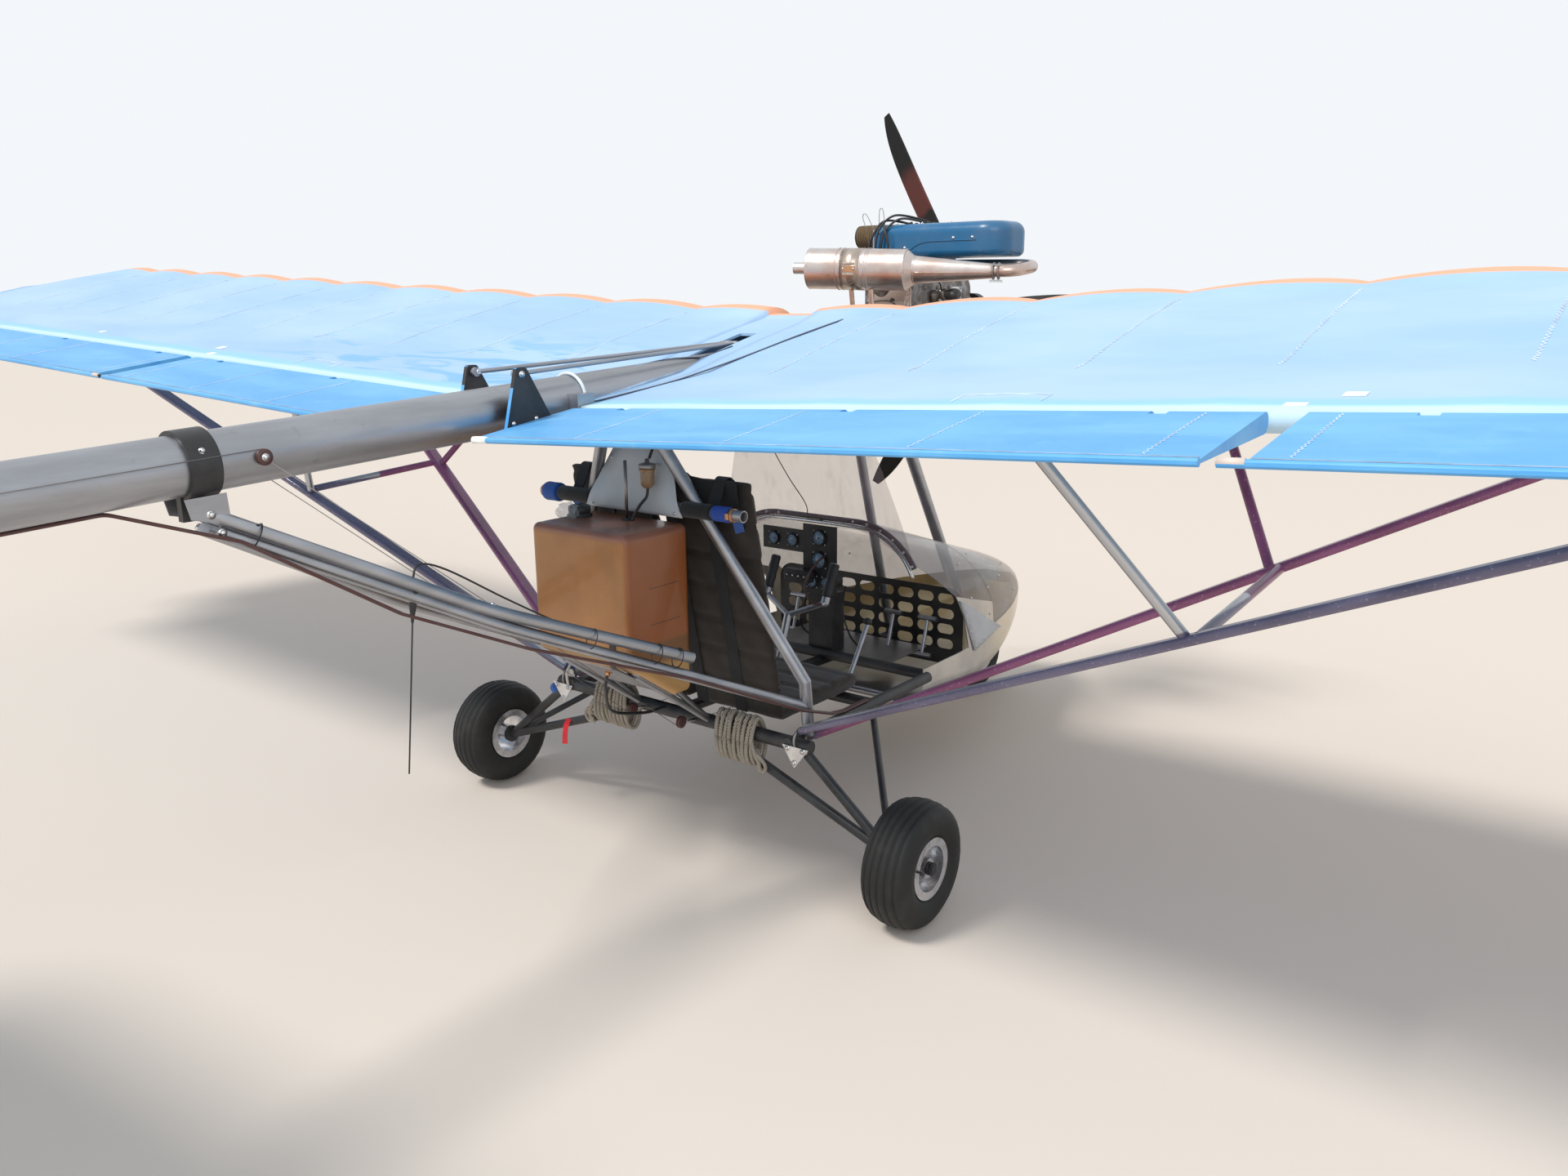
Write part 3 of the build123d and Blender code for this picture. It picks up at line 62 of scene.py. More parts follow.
# Wing and boom, with y counted behind the main axle
DIHEDRAL = 0.0472
BOOM_Z, BOOM_FALL = 1.498, 0.055
LEAD_Y, SPAR_Y = -0.81, 0.442
HINGE_Y = 0.47                  # hinge of flap and aileron
TRAIL_Y = 0.8025                # their trailing edge tube
FIRST_RIB, RIB_PITCH = 0.44, 0.45
WING_ROOT = 0.1
TIP_X, TIP_LONG = 4.64, 0.44    # where the tip starts to round, and its length

ACROSS, BACK, AHEAD, UP = (1, 0, 0), (0, 1, 0), (0, -1, 0), (0, 0, 1)
SIDES = ((1, "left"), (-1, "right"))


def at(x, y, z):
    """A point given across, behind the main axle, and up."""
    return Vector((x, AXLE_Y + y, z))


def point(p):
    """A tuple counts behind the main axle, as in at(); a Vector is in the frame already."""
    return p if isinstance(p, Vector) else at(*p)


def mirror(side, *points):
    """The points on one side of the aircraft."""
    return [(side * x, y, z) for x, y, z in points]


def boom_z(y):
    """Height of the boom axis."""
    return BOOM_Z - BOOM_FALL * y


# Materials
class Wire:
    """A value in a shader that adds, subtracts and multiplies as a number does."""

    def __init__(self, shade, socket):
        self.shade, self.socket = shade, socket

    def __mul__(self, other):
        return self.shade.math("MULTIPLY", self, other)

    def __add__(self, other):
        return self.shade.math("ADD", self, other)

    def __sub__(self, other):
        return self.shade.math("SUBTRACT", self, other)

    def __rsub__(self, other):
        return self.shade.math("SUBTRACT", other, self)

    def __neg__(self):
        return self * -1.0

    def __abs__(self):
        return self.shade.math("ABSOLUTE", self)


class Shade:
    """A procedural material: one shader and the textures that feed it."""

    def __init__(self, name, color, rough, metal=0.0, **sockets):
        self.mat = bpy.data.materials.new(name)
        self.mat.use_nodes = True
        self.tree = self.mat.node_tree
        self.shader = self.tree.nodes["Principled BSDF"]
        sockets.update(Base_Color=(*color, 1.0), Roughness=rough, Metallic=metal)
        for socket, value in sockets.items():
            self.shader.inputs[socket.replace("_", " ")].default_value = value
        self.place = self.node("ShaderNodeTexCoord", {}, "Object")

    def node(self, kind, inputs, out, **settings):
        """Add a node, feed its inputs and return one of its outputs."""
        made = self.tree.nodes.new(kind)
        for key, value in settings.items():
            setattr(made, key, value)
        for key, value in inputs.items():
            self.put(value, made.inputs[key])
        return Wire(self, made.outputs[out])

    def put(self, value, socket):
        if isinstance(value, Wire):
            self.tree.links.new(value.socket, socket)
        elif isinstance(value, tuple) and socket.type == "RGBA":
            socket.default_value = (*value, 1.0)
        else:
            socket.default_value = value

    def math(self, operation, a, b=0.0, clamp=False):
        return self.node("ShaderNodeMath", {0: a, 1: b}, 0, operation=operation, use_clamp=clamp)

    def stretch(self, *scale):
        return self.node("ShaderNodeMapping", {"Vector": self.place, "Scale": scale}, "Vector")

    def axis(self, letter):
        return self.node("ShaderNodeSeparateXYZ", {0: self.place}, letter)

    def noise(self, scale, detail=4.0, rough=0.55, vector=None, warp=0.0):
        return self.node("ShaderNodeTexNoise", {
            "Vector": vector or self.place, "Scale": scale, "Detail": detail,
            "Roughness": rough, "Distortion": warp}, "Fac")

    def wave(self, scale, direction, warp=0.0):
        return self.node("ShaderNodeTexWave", {"Vector": self.place, "Scale": scale, "Distortion": warp},
                         "Fac", bands_direction=direction)

    def step(self, value, low, high):
        """0 below low, 1 above high, smooth between."""
        return self.node("ShaderNodeMapRange", {"Value": value, "From Min": low, "From Max": high},
                         "Result", interpolation_type="SMOOTHSTEP")

    def mix(self, share, a, b):
        return self.node("ShaderNodeMix", {"Factor": share, "A": a, "B": b}, "Result", data_type="RGBA")

    def fade(self, value, low, high, a, b):
        """The look a where the value is low, b where it is high."""
        return self.mix(self.step(value, low, high), a, b)

    def color(self, value):
        self.put(value, self.shader.inputs["Base Color"])

    def spread(self, socket, value, low, high):
        """Let a value from 0 to 1 drive a socket of the shader from low to high."""
        result = self.node("ShaderNodeMapRange", {"Value": value, "To Min": low, "To Max": high}, "Result")
        self.put(result, self.shader.inputs[socket])

    def rough(self, value, low, high):
        self.spread("Roughness", value, low, high)

    def bump(self, height, strength, distance):
        """A relief, on top of the one that is there."""
        normal = self.shader.inputs["Normal"]
        inputs = {"Strength": strength, "Distance": distance, "Height": height}
        if normal.is_linked:
            inputs["Normal"] = Wire(self, normal.links[0].from_socket)
        self.put(self.node("ShaderNodeBump", inputs, "Normal"), normal)

    def weave(self, scale, strength):
        """Crossing threads, as a fine relief."""
        self.bump(self.wave(scale, "X") * self.wave(scale, "Y"), strength, 0.0004)


def dim(color, gain, lift=0.0):
    """The colour made darker or paler."""
    return tuple(c * gain + lift for c in color)


SAILCLOTH_WEAVE = (620.0, 0.10)


def cloudy(name, color, rough, cloud, reach, tones, shine=None, threads=None, relief=None, metal=0.0,
           **sockets):
    """A look whose colour and gloss drift with one noise, with threads or a relief of its own."""
    s = Shade(name, color, rough, metal, **sockets)
    drift = s.noise(*cloud)
    s.color(s.fade(drift, *reach, *tones))
    if shine:
        s.rough(drift, *shine)
    if threads:
        s.weave(*threads)
    if relief:
        grain, strength, distance = relief
        s.bump(s.noise(*grain) if grain else drift, strength, distance)
    return s.mat


def plastic(name, color, rough, grain=220.0):
    """Moulded plastic or rubber with a fine grain."""
    return cloudy(name, color, rough, (14.0, 4.0, 0.6), (0.3, 0.8), (color, dim(color, 0.72, 0.03)),
                  (rough - 0.1, rough + 0.2), relief=((grain, 2.0), 0.15, 0.0004))


def coarse_cloth(name, color):
    """Coarse woven cloth, tape or thread."""
    return cloudy(name, color, 0.85, (12.0, 5.0, 0.6), (0.35, 0.75), (color, dim(color, 1.5, 0.004)),
                  threads=(340.0, 0.4), relief=(None, 0.3, 0.004), Sheen_Weight=0.2)


def bare_alloy(name, tone, rough):
    """Weathered metal: dull blotches and fine scratches."""
    s = Shade(name, tone, rough, 1.0)
    drawn = s.noise(7.0, 6.0, 0.6, s.stretch(2.4, 0.35, 2.4))
    blotch = s.noise(24.0, 5.0, 0.65)
    fine = s.noise(160.0, 3.0, 0.6)
    tube = s.fade(drawn, 0.35, 0.7, dim(tone, 0.80), tone)
    s.color(s.mix(s.step(blotch, 0.62, 0.76) * 0.5, tube, dim(tone, 0.62)))
    s.rough((drawn + fine) * 0.5, rough - 0.08, rough + 0.2)
    s.bump(fine, 0.12, 0.0004)
    return s.mat


def painted(name, color, rough, wear):
    """Paint over metal, with dust in the hollows and bare chips."""
    s = Shade(name, color, rough)
    cloud = s.noise(6.0, 5.0, 0.6)
    grit = s.noise(90.0, 5.0, 0.7)
    base = s.fade(cloud, 0.35, 0.75, color, dim(color, 0.8, 0.045))
    chips = s.step(grit * s.step(cloud, 0.45, 0.8), 0.70 - 0.22 * wear, 0.76 - 0.22 * wear)
    s.color(s.mix(chips * wear, base, (0.42, 0.43, 0.45)))
    s.rough(cloud, rough - 0.1, rough + 0.22)
    s.bump(grit, 0.08, 0.0004)
    return s.mat


def wing_cloth():
    """Sun-faded sailcloth: pale blue, an orange leading edge, a pale band ahead of the hinge."""
    s = Shade("sailcloth_faded_blue", (0.36, 0.57, 0.83), 0.56, Sheen_Weight=0.12)
    x, y = s.axis("X"), s.axis("Y") - AXLE_Y
    broad = s.noise(1.1, 4.0, 0.5, s.stretch(1.0, 1.7, 1.7), 0.5)
    fine = s.noise(7.0, 5.0, 0.6, s.stretch(0.5, 2.2, 2.0))
    blue = s.fade(broad, 0.32, 0.70, (0.325, 0.53, 0.80), (0.42, 0.61, 0.84))
    blue = s.mix(s.step(fine, 0.45, 0.78) * 0.25, blue, (0.50, 0.67, 0.86))
    # Less faded streaks on the port panel near the root
    streak = s.step(s.noise(3.2, 4.0, 0.6, s.stretch(0.7, 2.4, 2.4), 1.2), 0.50, 0.60)
    inboard = s.step(x, 0.1, 0.35) * (1 - s.step(x, 1.3, 2.0))
    behind = s.step(y, -0.35, 0.05) * 0.85
    blue = s.mix(streak * inboard * behind, blue, (0.17, 0.45, 0.81))
    blue = s.fade(y + fine * 0.03, 0.345, 0.385, blue, (0.30, 0.60, 0.84))
    line = s.step(y, 0.392, 0.432) * s.math("ADD", s.step(broad, 0.25, 0.6), 0.35, True)
    blue = s.mix(line, blue, (0.56, 0.76, 0.86))
    # The blue cloth ends ahead of the crest, and the leading edge is orange
    nose = s.step(-y, 0.624, 0.632)
    # Painted shade: the underside of the orange leading edge is darker and redder than its top
    under = s.step(-(s.axis("Z") - abs(x) * DIHEDRAL), -1.60, -1.54)
    orange = s.mix(under, (0.90, 0.40, 0.22), (0.80, 0.20, 0.10))
    s.color(s.mix(nose, blue, s.mix(fine * 0.4, orange, (0.94, 0.55, 0.40))))
    s.rough(fine, 0.46, 0.68)
    s.weave(*SAILCLOTH_WEAVE)
    s.bump(fine, 0.2, 0.002)
    return s.mat


def flap_cloth():
    """Less faded, stronger blue cloth of the flaps, ailerons, elevator and rudder."""
    s = Shade("sailcloth_strong_blue", (0.10, 0.42, 0.84), 0.5, Sheen_Weight=0.1)
    broad = s.noise(2.2, 4.0, 0.55, s.stretch(1.0, 3.0, 3.0), 0.5)
    fine = s.noise(16.0, 5.0, 0.6)
    blue = s.fade(broad, 0.3, 0.7, (0.075, 0.36, 0.76), (0.14, 0.46, 0.82))
    s.color(s.mix(s.step(fine, 0.5, 0.8) * 0.3, blue, (0.30, 0.60, 0.86)))
    s.rough(fine, 0.38, 0.6)
    s.weave(*SAILCLOTH_WEAVE)
    s.bump(broad, 0.2, 0.003)
    return s.mat


def strut_reflection():
    """Painted reflection of the wing's underside on the struts: maroon on the front struts, violet on the rear;
    rear jury struts bare.
    """
    s = Shade("strut_painted_reflection", (0.16, 0.05, 0.13), 0.36, Coat_Weight=0.25)
    x, y = abs(s.axis("X")), s.axis("Y") - AXLE_Y
    front = s.step(x * -0.055 - 0.02 - y, 0.0, 0.01)
    cloud = s.noise(3.0, 5.0, 0.6, s.stretch(0.6, 2.0, 2.0))
    # Painted reflection: the front struts take the red of the wing's underside, the rear ones its blue
    maroon = s.fade(cloud, 0.3, 0.7, (0.20, 0.045, 0.12), (0.33, 0.09, 0.22))
    violet = s.fade(cloud, 0.3, 0.7, (0.10, 0.085, 0.15), (0.17, 0.15, 0.24))
    worn = s.step(s.noise(120.0, 4.0, 0.7), 0.60, 0.68) * 0.5
    # The painted reflection, with pale worn speckles over it
    reflection_and_wear = s.mix(worn, s.mix(front, violet, maroon), (0.5, 0.46, 0.5))
    above = s.axis("Z") - (x * 0.458 + 0.241)       # over the line of the rear strut
    bare = s.step(above, 0.030, 0.036) * (1 - front)
    s.color(s.mix(bare, reflection_and_wear, (0.48, 0.49, 0.51)))
    s.put(bare, s.shader.inputs["Metallic"])
    s.rough(cloud, 0.26, 0.5)
    return s.mat


def pod_finish():
    """Glossy silver-grey shell that warms towards the nose with a painted reflection of the warm ground."""
    s = Shade("pod_silver_painted_reflection", (0.42, 0.41, 0.40), 0.25, 0.55, Coat_Weight=0.6, Coat_Roughness=0.12)
    cloud = s.noise(4.0, 5.0, 0.6)
    silver = s.fade(cloud, 0.3, 0.7, (0.36, 0.35, 0.34), (0.56, 0.54, 0.50))
    # Painted reflection of the warm ground on the shiny nose
    ground_reflection = s.fade(cloud, 0.3, 0.7, (0.40, 0.31, 0.17), (0.58, 0.48, 0.30))
    s.color(s.fade(-(s.axis("Y") - AXLE_Y), 1.12, 1.60, silver, ground_reflection))
    s.rough(cloud, 0.22, 0.40)
    return s.mat


def clear_screen(name, tint, rough, alpha):
    """Thin tinted plastic with dusty streaks."""
    s = Shade(name, tint, rough, Alpha=alpha, Specular_IOR_Level=0.7, Coat_Weight=0.3)
    dust = s.noise(10.0, 6.0, 0.7, s.stretch(1.6, 1.0, 0.5))
    s.rough(dust, rough, rough + 0.12)
    s.color(s.fade(dust, 0.4, 0.75, tint, dim(tint, 0.7, 0.14)))
    s.spread("Alpha", s.step(dust, 0.45, 0.85), alpha, alpha + 0.12)
    return s.mat


def tank_plastic():
    """Translucent amber tank: olive below the fuel line; painted shade makes the starboard side darker and redder,
    and the top darker still.
    """
    s = Shade("tank_amber", (0.55, 0.27, 0.09), 0.34, Subsurface_Weight=0.3, Coat_Weight=0.25,
              Subsurface_Radius=(0.05, 0.022, 0.008))
    z = s.axis("Z")
    cloud = s.noise(5.0, 5.0, 0.6)
    # Painted shade: the starboard face, away from the light, is darker and redder above and below the fuel line
    side = s.step(-s.axis("X"), 0.178, 0.194)
    dry = s.fade(cloud, 0.3, 0.75, (0.36, 0.155, 0.045), (0.44, 0.20, 0.065))
    dry = s.mix(side, dry, s.mix(cloud, (0.27, 0.075, 0.017), (0.34, 0.11, 0.03)))
    wet = s.fade(cloud, 0.3, 0.75, (0.27, 0.14, 0.042), (0.34, 0.19, 0.06))
    wet = s.mix(side, wet, (0.20, 0.085, 0.025))
    heel = s.mix(cloud, (0.46, 0.25, 0.085), (0.54, 0.32, 0.12))
    wet = s.fade(-z, -0.735, -0.69, wet, heel)
    body = s.fade(z + cloud * 0.01, 0.778, 0.79, wet, dry)
    # Painted shadow of the wing and the sheet on the tank top
    body = s.fade(z, 1.075, 1.10, body, (0.28, 0.11, 0.065))
    # Plain dashes beside the fuel level
    y = s.axis("Y") - AXLE_Y
    for height, last in ((0.943, 0.300), (0.836, 0.300), (0.729, 0.240)):
        line = 1 - s.step(abs(z - height), 0.0012, 0.0022)
        span = s.step(y, 0.175, 0.178) * (1 - s.step(y, last, last + 0.003))
        body = s.mix(line * span * side * 0.7, body, (0.07, 0.03, 0.015))
    s.color(body)
    s.rough(s.noise(40.0, 4.0), 0.26, 0.48)
    s.bump(s.noise(26.0, 3.0), 0.2, 0.002)
    return s.mat


def silencer_steel():
    """Satin steel with heat tints."""
    s = Shade("silencer_steel", (0.62, 0.58, 0.54), 0.3, 1.0)
    drawn = s.noise(60.0, 4.0, 0.6, s.stretch(0.2, 1.0, 1.0))
    tint = s.fade(s.noise(7.0, 5.0, 0.6), 0.35, 0.7, (0.66, 0.62, 0.60), (0.56, 0.42, 0.36))
    s.color(s.fade(drawn, 0.55, 0.8, tint, (0.42, 0.34, 0.28)))
    s.rough(drawn, 0.2, 0.46)
    s.bump(drawn, 0.1, 0.0006)
    return s.mat


def bungee_braid():
    """Cream and black braid of the bungee cord."""
    s = Shade("bungee_braid", (0.55, 0.49, 0.40), 0.8)
    braid = s.wave(95.0, "DIAGONAL", 0.6)
    fleck = s.step(braid * (s.noise(300.0, 2.0) + 0.5), 0.62, 0.72)
    cream = s.mix(s.noise(20.0), (0.42, 0.36, 0.28), (0.62, 0.55, 0.45))
    s.color(s.mix(fleck, cream, (0.05, 0.045, 0.05)))
    s.bump(braid, 0.5, 0.001)
    return s.mat


def blade_finish():
    """Black blade with a painted reddish highlight at one distance from the hub."""
    black = (0.004, 0.004, 0.004)
    s = Shade("blade_black_painted_highlight", black, 0.4, Specular_IOR_Level=0.25, Coat_Weight=0.06, Coat_Roughness=0.2)
    away = s.node("ShaderNodeVectorMath", {0: s.place, 1: PROP_HUB}, "Value", operation="DISTANCE")
    reach = away + s.noise(9.0, 3.0) * 0.12
    # Painted highlight: a reddish band across the blade
    patch = s.step(reach, 0.50, 0.54) * (1 - s.step(reach, 0.66, 0.74))
    s.color(s.mix(patch, black, (0.10, 0.025, 0.02)))
    s.rough(s.noise(30.0, 4.0), 0.32, 0.5)
    return s.mat


def dial_face():
    """Pale blue dial, a little uneven under its glass."""
    s = Shade("dial_pale_blue", (0.16, 0.26, 0.38), 0.3, Coat_Weight=0.8)
    s.color(s.mix(s.noise(60.0, 3.0), (0.13, 0.22, 0.34), (0.22, 0.34, 0.47)))
    return s.mat


RIM_TONE = (0.78, 0.78, 0.80)
M = {
    "alloy": bare_alloy("bare_alloy_tube", (0.42, 0.43, 0.46), 0.34),
    "bright": bare_alloy("bright_fittings", (0.74, 0.74, 0.75), 0.22),
    "steel": bare_alloy("worn_steel", (0.34, 0.32, 0.31), 0.4),
    "copper": bare_alloy("copper_fittings", (0.62, 0.33, 0.18), 0.3),
    "sleeve": bare_alloy("heat_tinted_sleeve", (0.58, 0.49, 0.42), 0.24),
    "black": painted("black_paint", (0.013, 0.013, 0.015), 0.38, 0.4),
    "blue": painted("scoop_blue", (0.005, 0.125, 0.29), 0.2, 0.05),
    "needle": painted("dial_marks_white", (0.80, 0.82, 0.84), 0.5, 0.05),
    "panel": painted("pale_panel_paint", (0.58, 0.60, 0.62), 0.45, 0.3),
    "white": painted("cream_panel_paint", (0.72, 0.62, 0.56), 0.5, 0.2),
    "wrap": coarse_cloth("blue_wrap_cloth", (0.015, 0.075, 0.30)),
    "ribbon": coarse_cloth("red_ribbon_cloth", (0.55, 0.012, 0.02)),
    "patch": coarse_cloth("pale_patch_cloth", (0.30, 0.42, 0.55)),
    "whitecloth": coarse_cloth("white_patch_cloth", (0.78, 0.80, 0.80)),
    "hook": coarse_cloth("hook_tape_dark", (0.030, 0.045, 0.085)),
    "filter": coarse_cloth("filter_gauze_gold", (0.11, 0.066, 0.024)),
    "seat": coarse_cloth("seat_brown_cloth", (0.024, 0.017, 0.013)),
    "webbing": coarse_cloth("webbing_black", (0.007, 0.007, 0.008)),
    "thread": coarse_cloth("white_thread", (0.75, 0.80, 0.84)),
    "film": clear_screen("clear_film", (0.70, 0.72, 0.74), 0.12, 0.35),
    "bowl": clear_screen("fuel_bowl_amber", (0.28, 0.14, 0.04), 0.08, 0.7),
    "screen": clear_screen("smoked_screen", (0.34, 0.25, 0.29), 0.06, 0.19),
    "cowl": clear_screen("cowl_screen", (0.17, 0.15, 0.17), 0.08, 0.38),
    "pale": plastic("pale_blue_plastic", (0.30, 0.46, 0.62), 0.4),
    "plastic": plastic("black_plastic", (0.014, 0.014, 0.016), 0.5),
    "rubber": plastic("black_hose", (0.012, 0.012, 0.013), 0.42, 300.0),
    "brown": plastic("brown_sheath_plastic", (0.075, 0.022, 0.018), 0.4, 300.0),
    "foam": plastic("blue_foam", (0.02, 0.08, 0.42), 0.8, 120.0),
    "cloth": wing_cloth(),
    "flap": flap_cloth(),
    "tail": cloudy("sailcloth_tail", (0.36, 0.62, 0.90), 0.56, (2.0, 5.0, 0.55), (0.34, 0.68),
                   ((0.25, 0.52, 0.87), (0.45, 0.68, 0.91)), (0.46, 0.66), SAILCLOTH_WEAVE,
                   Sheen_Weight=0.12),
    "strut": strut_reflection(),
    "pod": pod_finish(),
    "tank": tank_plastic(),
    # Tyre rubber, dusty grey where it has rolled
    "tyre": cloudy("tyre_rubber_dusty", (0.018, 0.018, 0.018), 0.72, (11.0, 6.0, 0.65), (0.45, 0.85),
                   ((0.007, 0.007, 0.007), (0.036, 0.033, 0.029)), (0.55, 0.82),
                   relief=((150.0, 4.0, 0.7), 0.2, 0.0006)),
    "rim": cloudy("polished_rim", RIM_TONE, 0.16, (30.0, 5.0, 0.65), (0.4, 0.75),
                  (RIM_TONE, dim(RIM_TONE, 0.6)), (0.16, 0.40), metal=1.0),
    "silencer": silencer_steel(),
    # Sand-cast alloy, oily in the corners
    "cast": cloudy("cast_alloy_grey", (0.34, 0.34, 0.35), 0.5, (16.0, 6.0, 0.7), (0.42, 0.62),
                   ((0.17, 0.15, 0.13), (0.38, 0.38, 0.39)), (0.4, 0.7),
                   relief=((170.0, 3.0), 0.3, 0.0008), metal=0.85),
    "bulkhead": cloudy("bulkhead_black", (0.010, 0.010, 0.011), 0.45, (8.0, 5.0, 0.6), (0.4, 0.8),
                       ((0.008, 0.008, 0.009), (0.035, 0.033, 0.03)), (0.35, 0.6)),
    "bungee": bungee_braid(),
    "blade": blade_finish(),
    "dial": dial_face(),
}

NODE_LOOKS = {
    "alloy": "boom boom_braces rear_frame front_struts wing_brackets tank_tray controls flap_rods",
    "black": "boom_clamp lower_frame engine_mount dash_hoop gear_legs tail_skid nose_fork",
    "bright": "tail_stays", "cast": "engine gearbox", "blue": "cooling_scoop", "filter": "air_filter",
    "silencer": "muffler", "plastic": "battery_box instrument_panel", "white": "engine_fairing",
    "panel": "rear_panel", "cloth": "wing_left wing_right centre_cover", "tail": "fin tailplane",
    "flap": "flap_left flap_right aileron_left aileron_right elevator rudder", "strut": "lift_struts",
    "pod": "pod", "cowl": "cowl_window nose_bubble", "screen": "windshield", "bulkhead": "nose_bulkhead",
    "seat": "seats", "tank": "fuel_tank", "bungee": "bungees", "rubber": "antenna",
    "brown": "control_cables", "rim": "rim_left rim_right nose_rim",
    "tyre": "tyre_left tyre_right nose_tyre", "blade": "propeller",
}
for look, nodes in NODE_LOOKS.items():
    for node in nodes.split():
        NODES[node].data.materials.clear()
        NODES[node].data.materials.append(M[look])


# Mesh building
def circle(count):
    """(cos, sin) of evenly spread angles."""
    return [(cos(2 * pi * k / count), sin(2 * pi * k / count)) for k in range(count)]


def loft(rows, around, ring=False):
    """Faces between closed rows of points, with end faces; a ring joins its last row to the first."""
    faces = [[j * around + k, j * around + (k + 1) % around,
              (j + 1) % rows * around + (k + 1) % around, (j + 1) % rows * around + k]
             for j in range(rows if ring else rows - 1) for k in range(around)]
    if not ring:
        faces += [list(range(around)), list(range((rows - 1) * around, rows * around))]
    return faces


def collar(inner, outer, long):
    """Outline of a plain collar, for Piece.turned."""
    return [(0.0, inner), (0.0, outer), (long, outer), (long, inner)]


def smooth_line(points, fine):
    """Points on a smooth curve through the given ones."""
    if len(points) < 3:
        return points
    line = []
    ends = [points[0] * 2 - points[1]] + points + [points[-1] * 2 - points[-2]]
    for i in range(1, len(ends) - 2):
        a, b, c, d = ends[i - 1:i + 3]
        for k in range(fine):
            t = k / fine
            line.append(0.5 * (2 * b + (c - a) * t + (2 * a - 5 * b + 4 * c - d) * t * t
                               + (3 * b - a - 3 * c + d) * t ** 3))
    return line + [points[-1]]


def way_at(line, i):
    """Direction of a line of points at one of them."""
    return (line[min(i + 1, len(line) - 1)] - line[max(i - 1, 0)]).normalized()


def add_object(name, data):
    thing = bpy.data.objects.new(name, data)
    bpy.context.scene.collection.objects.link(thing)
    return thing


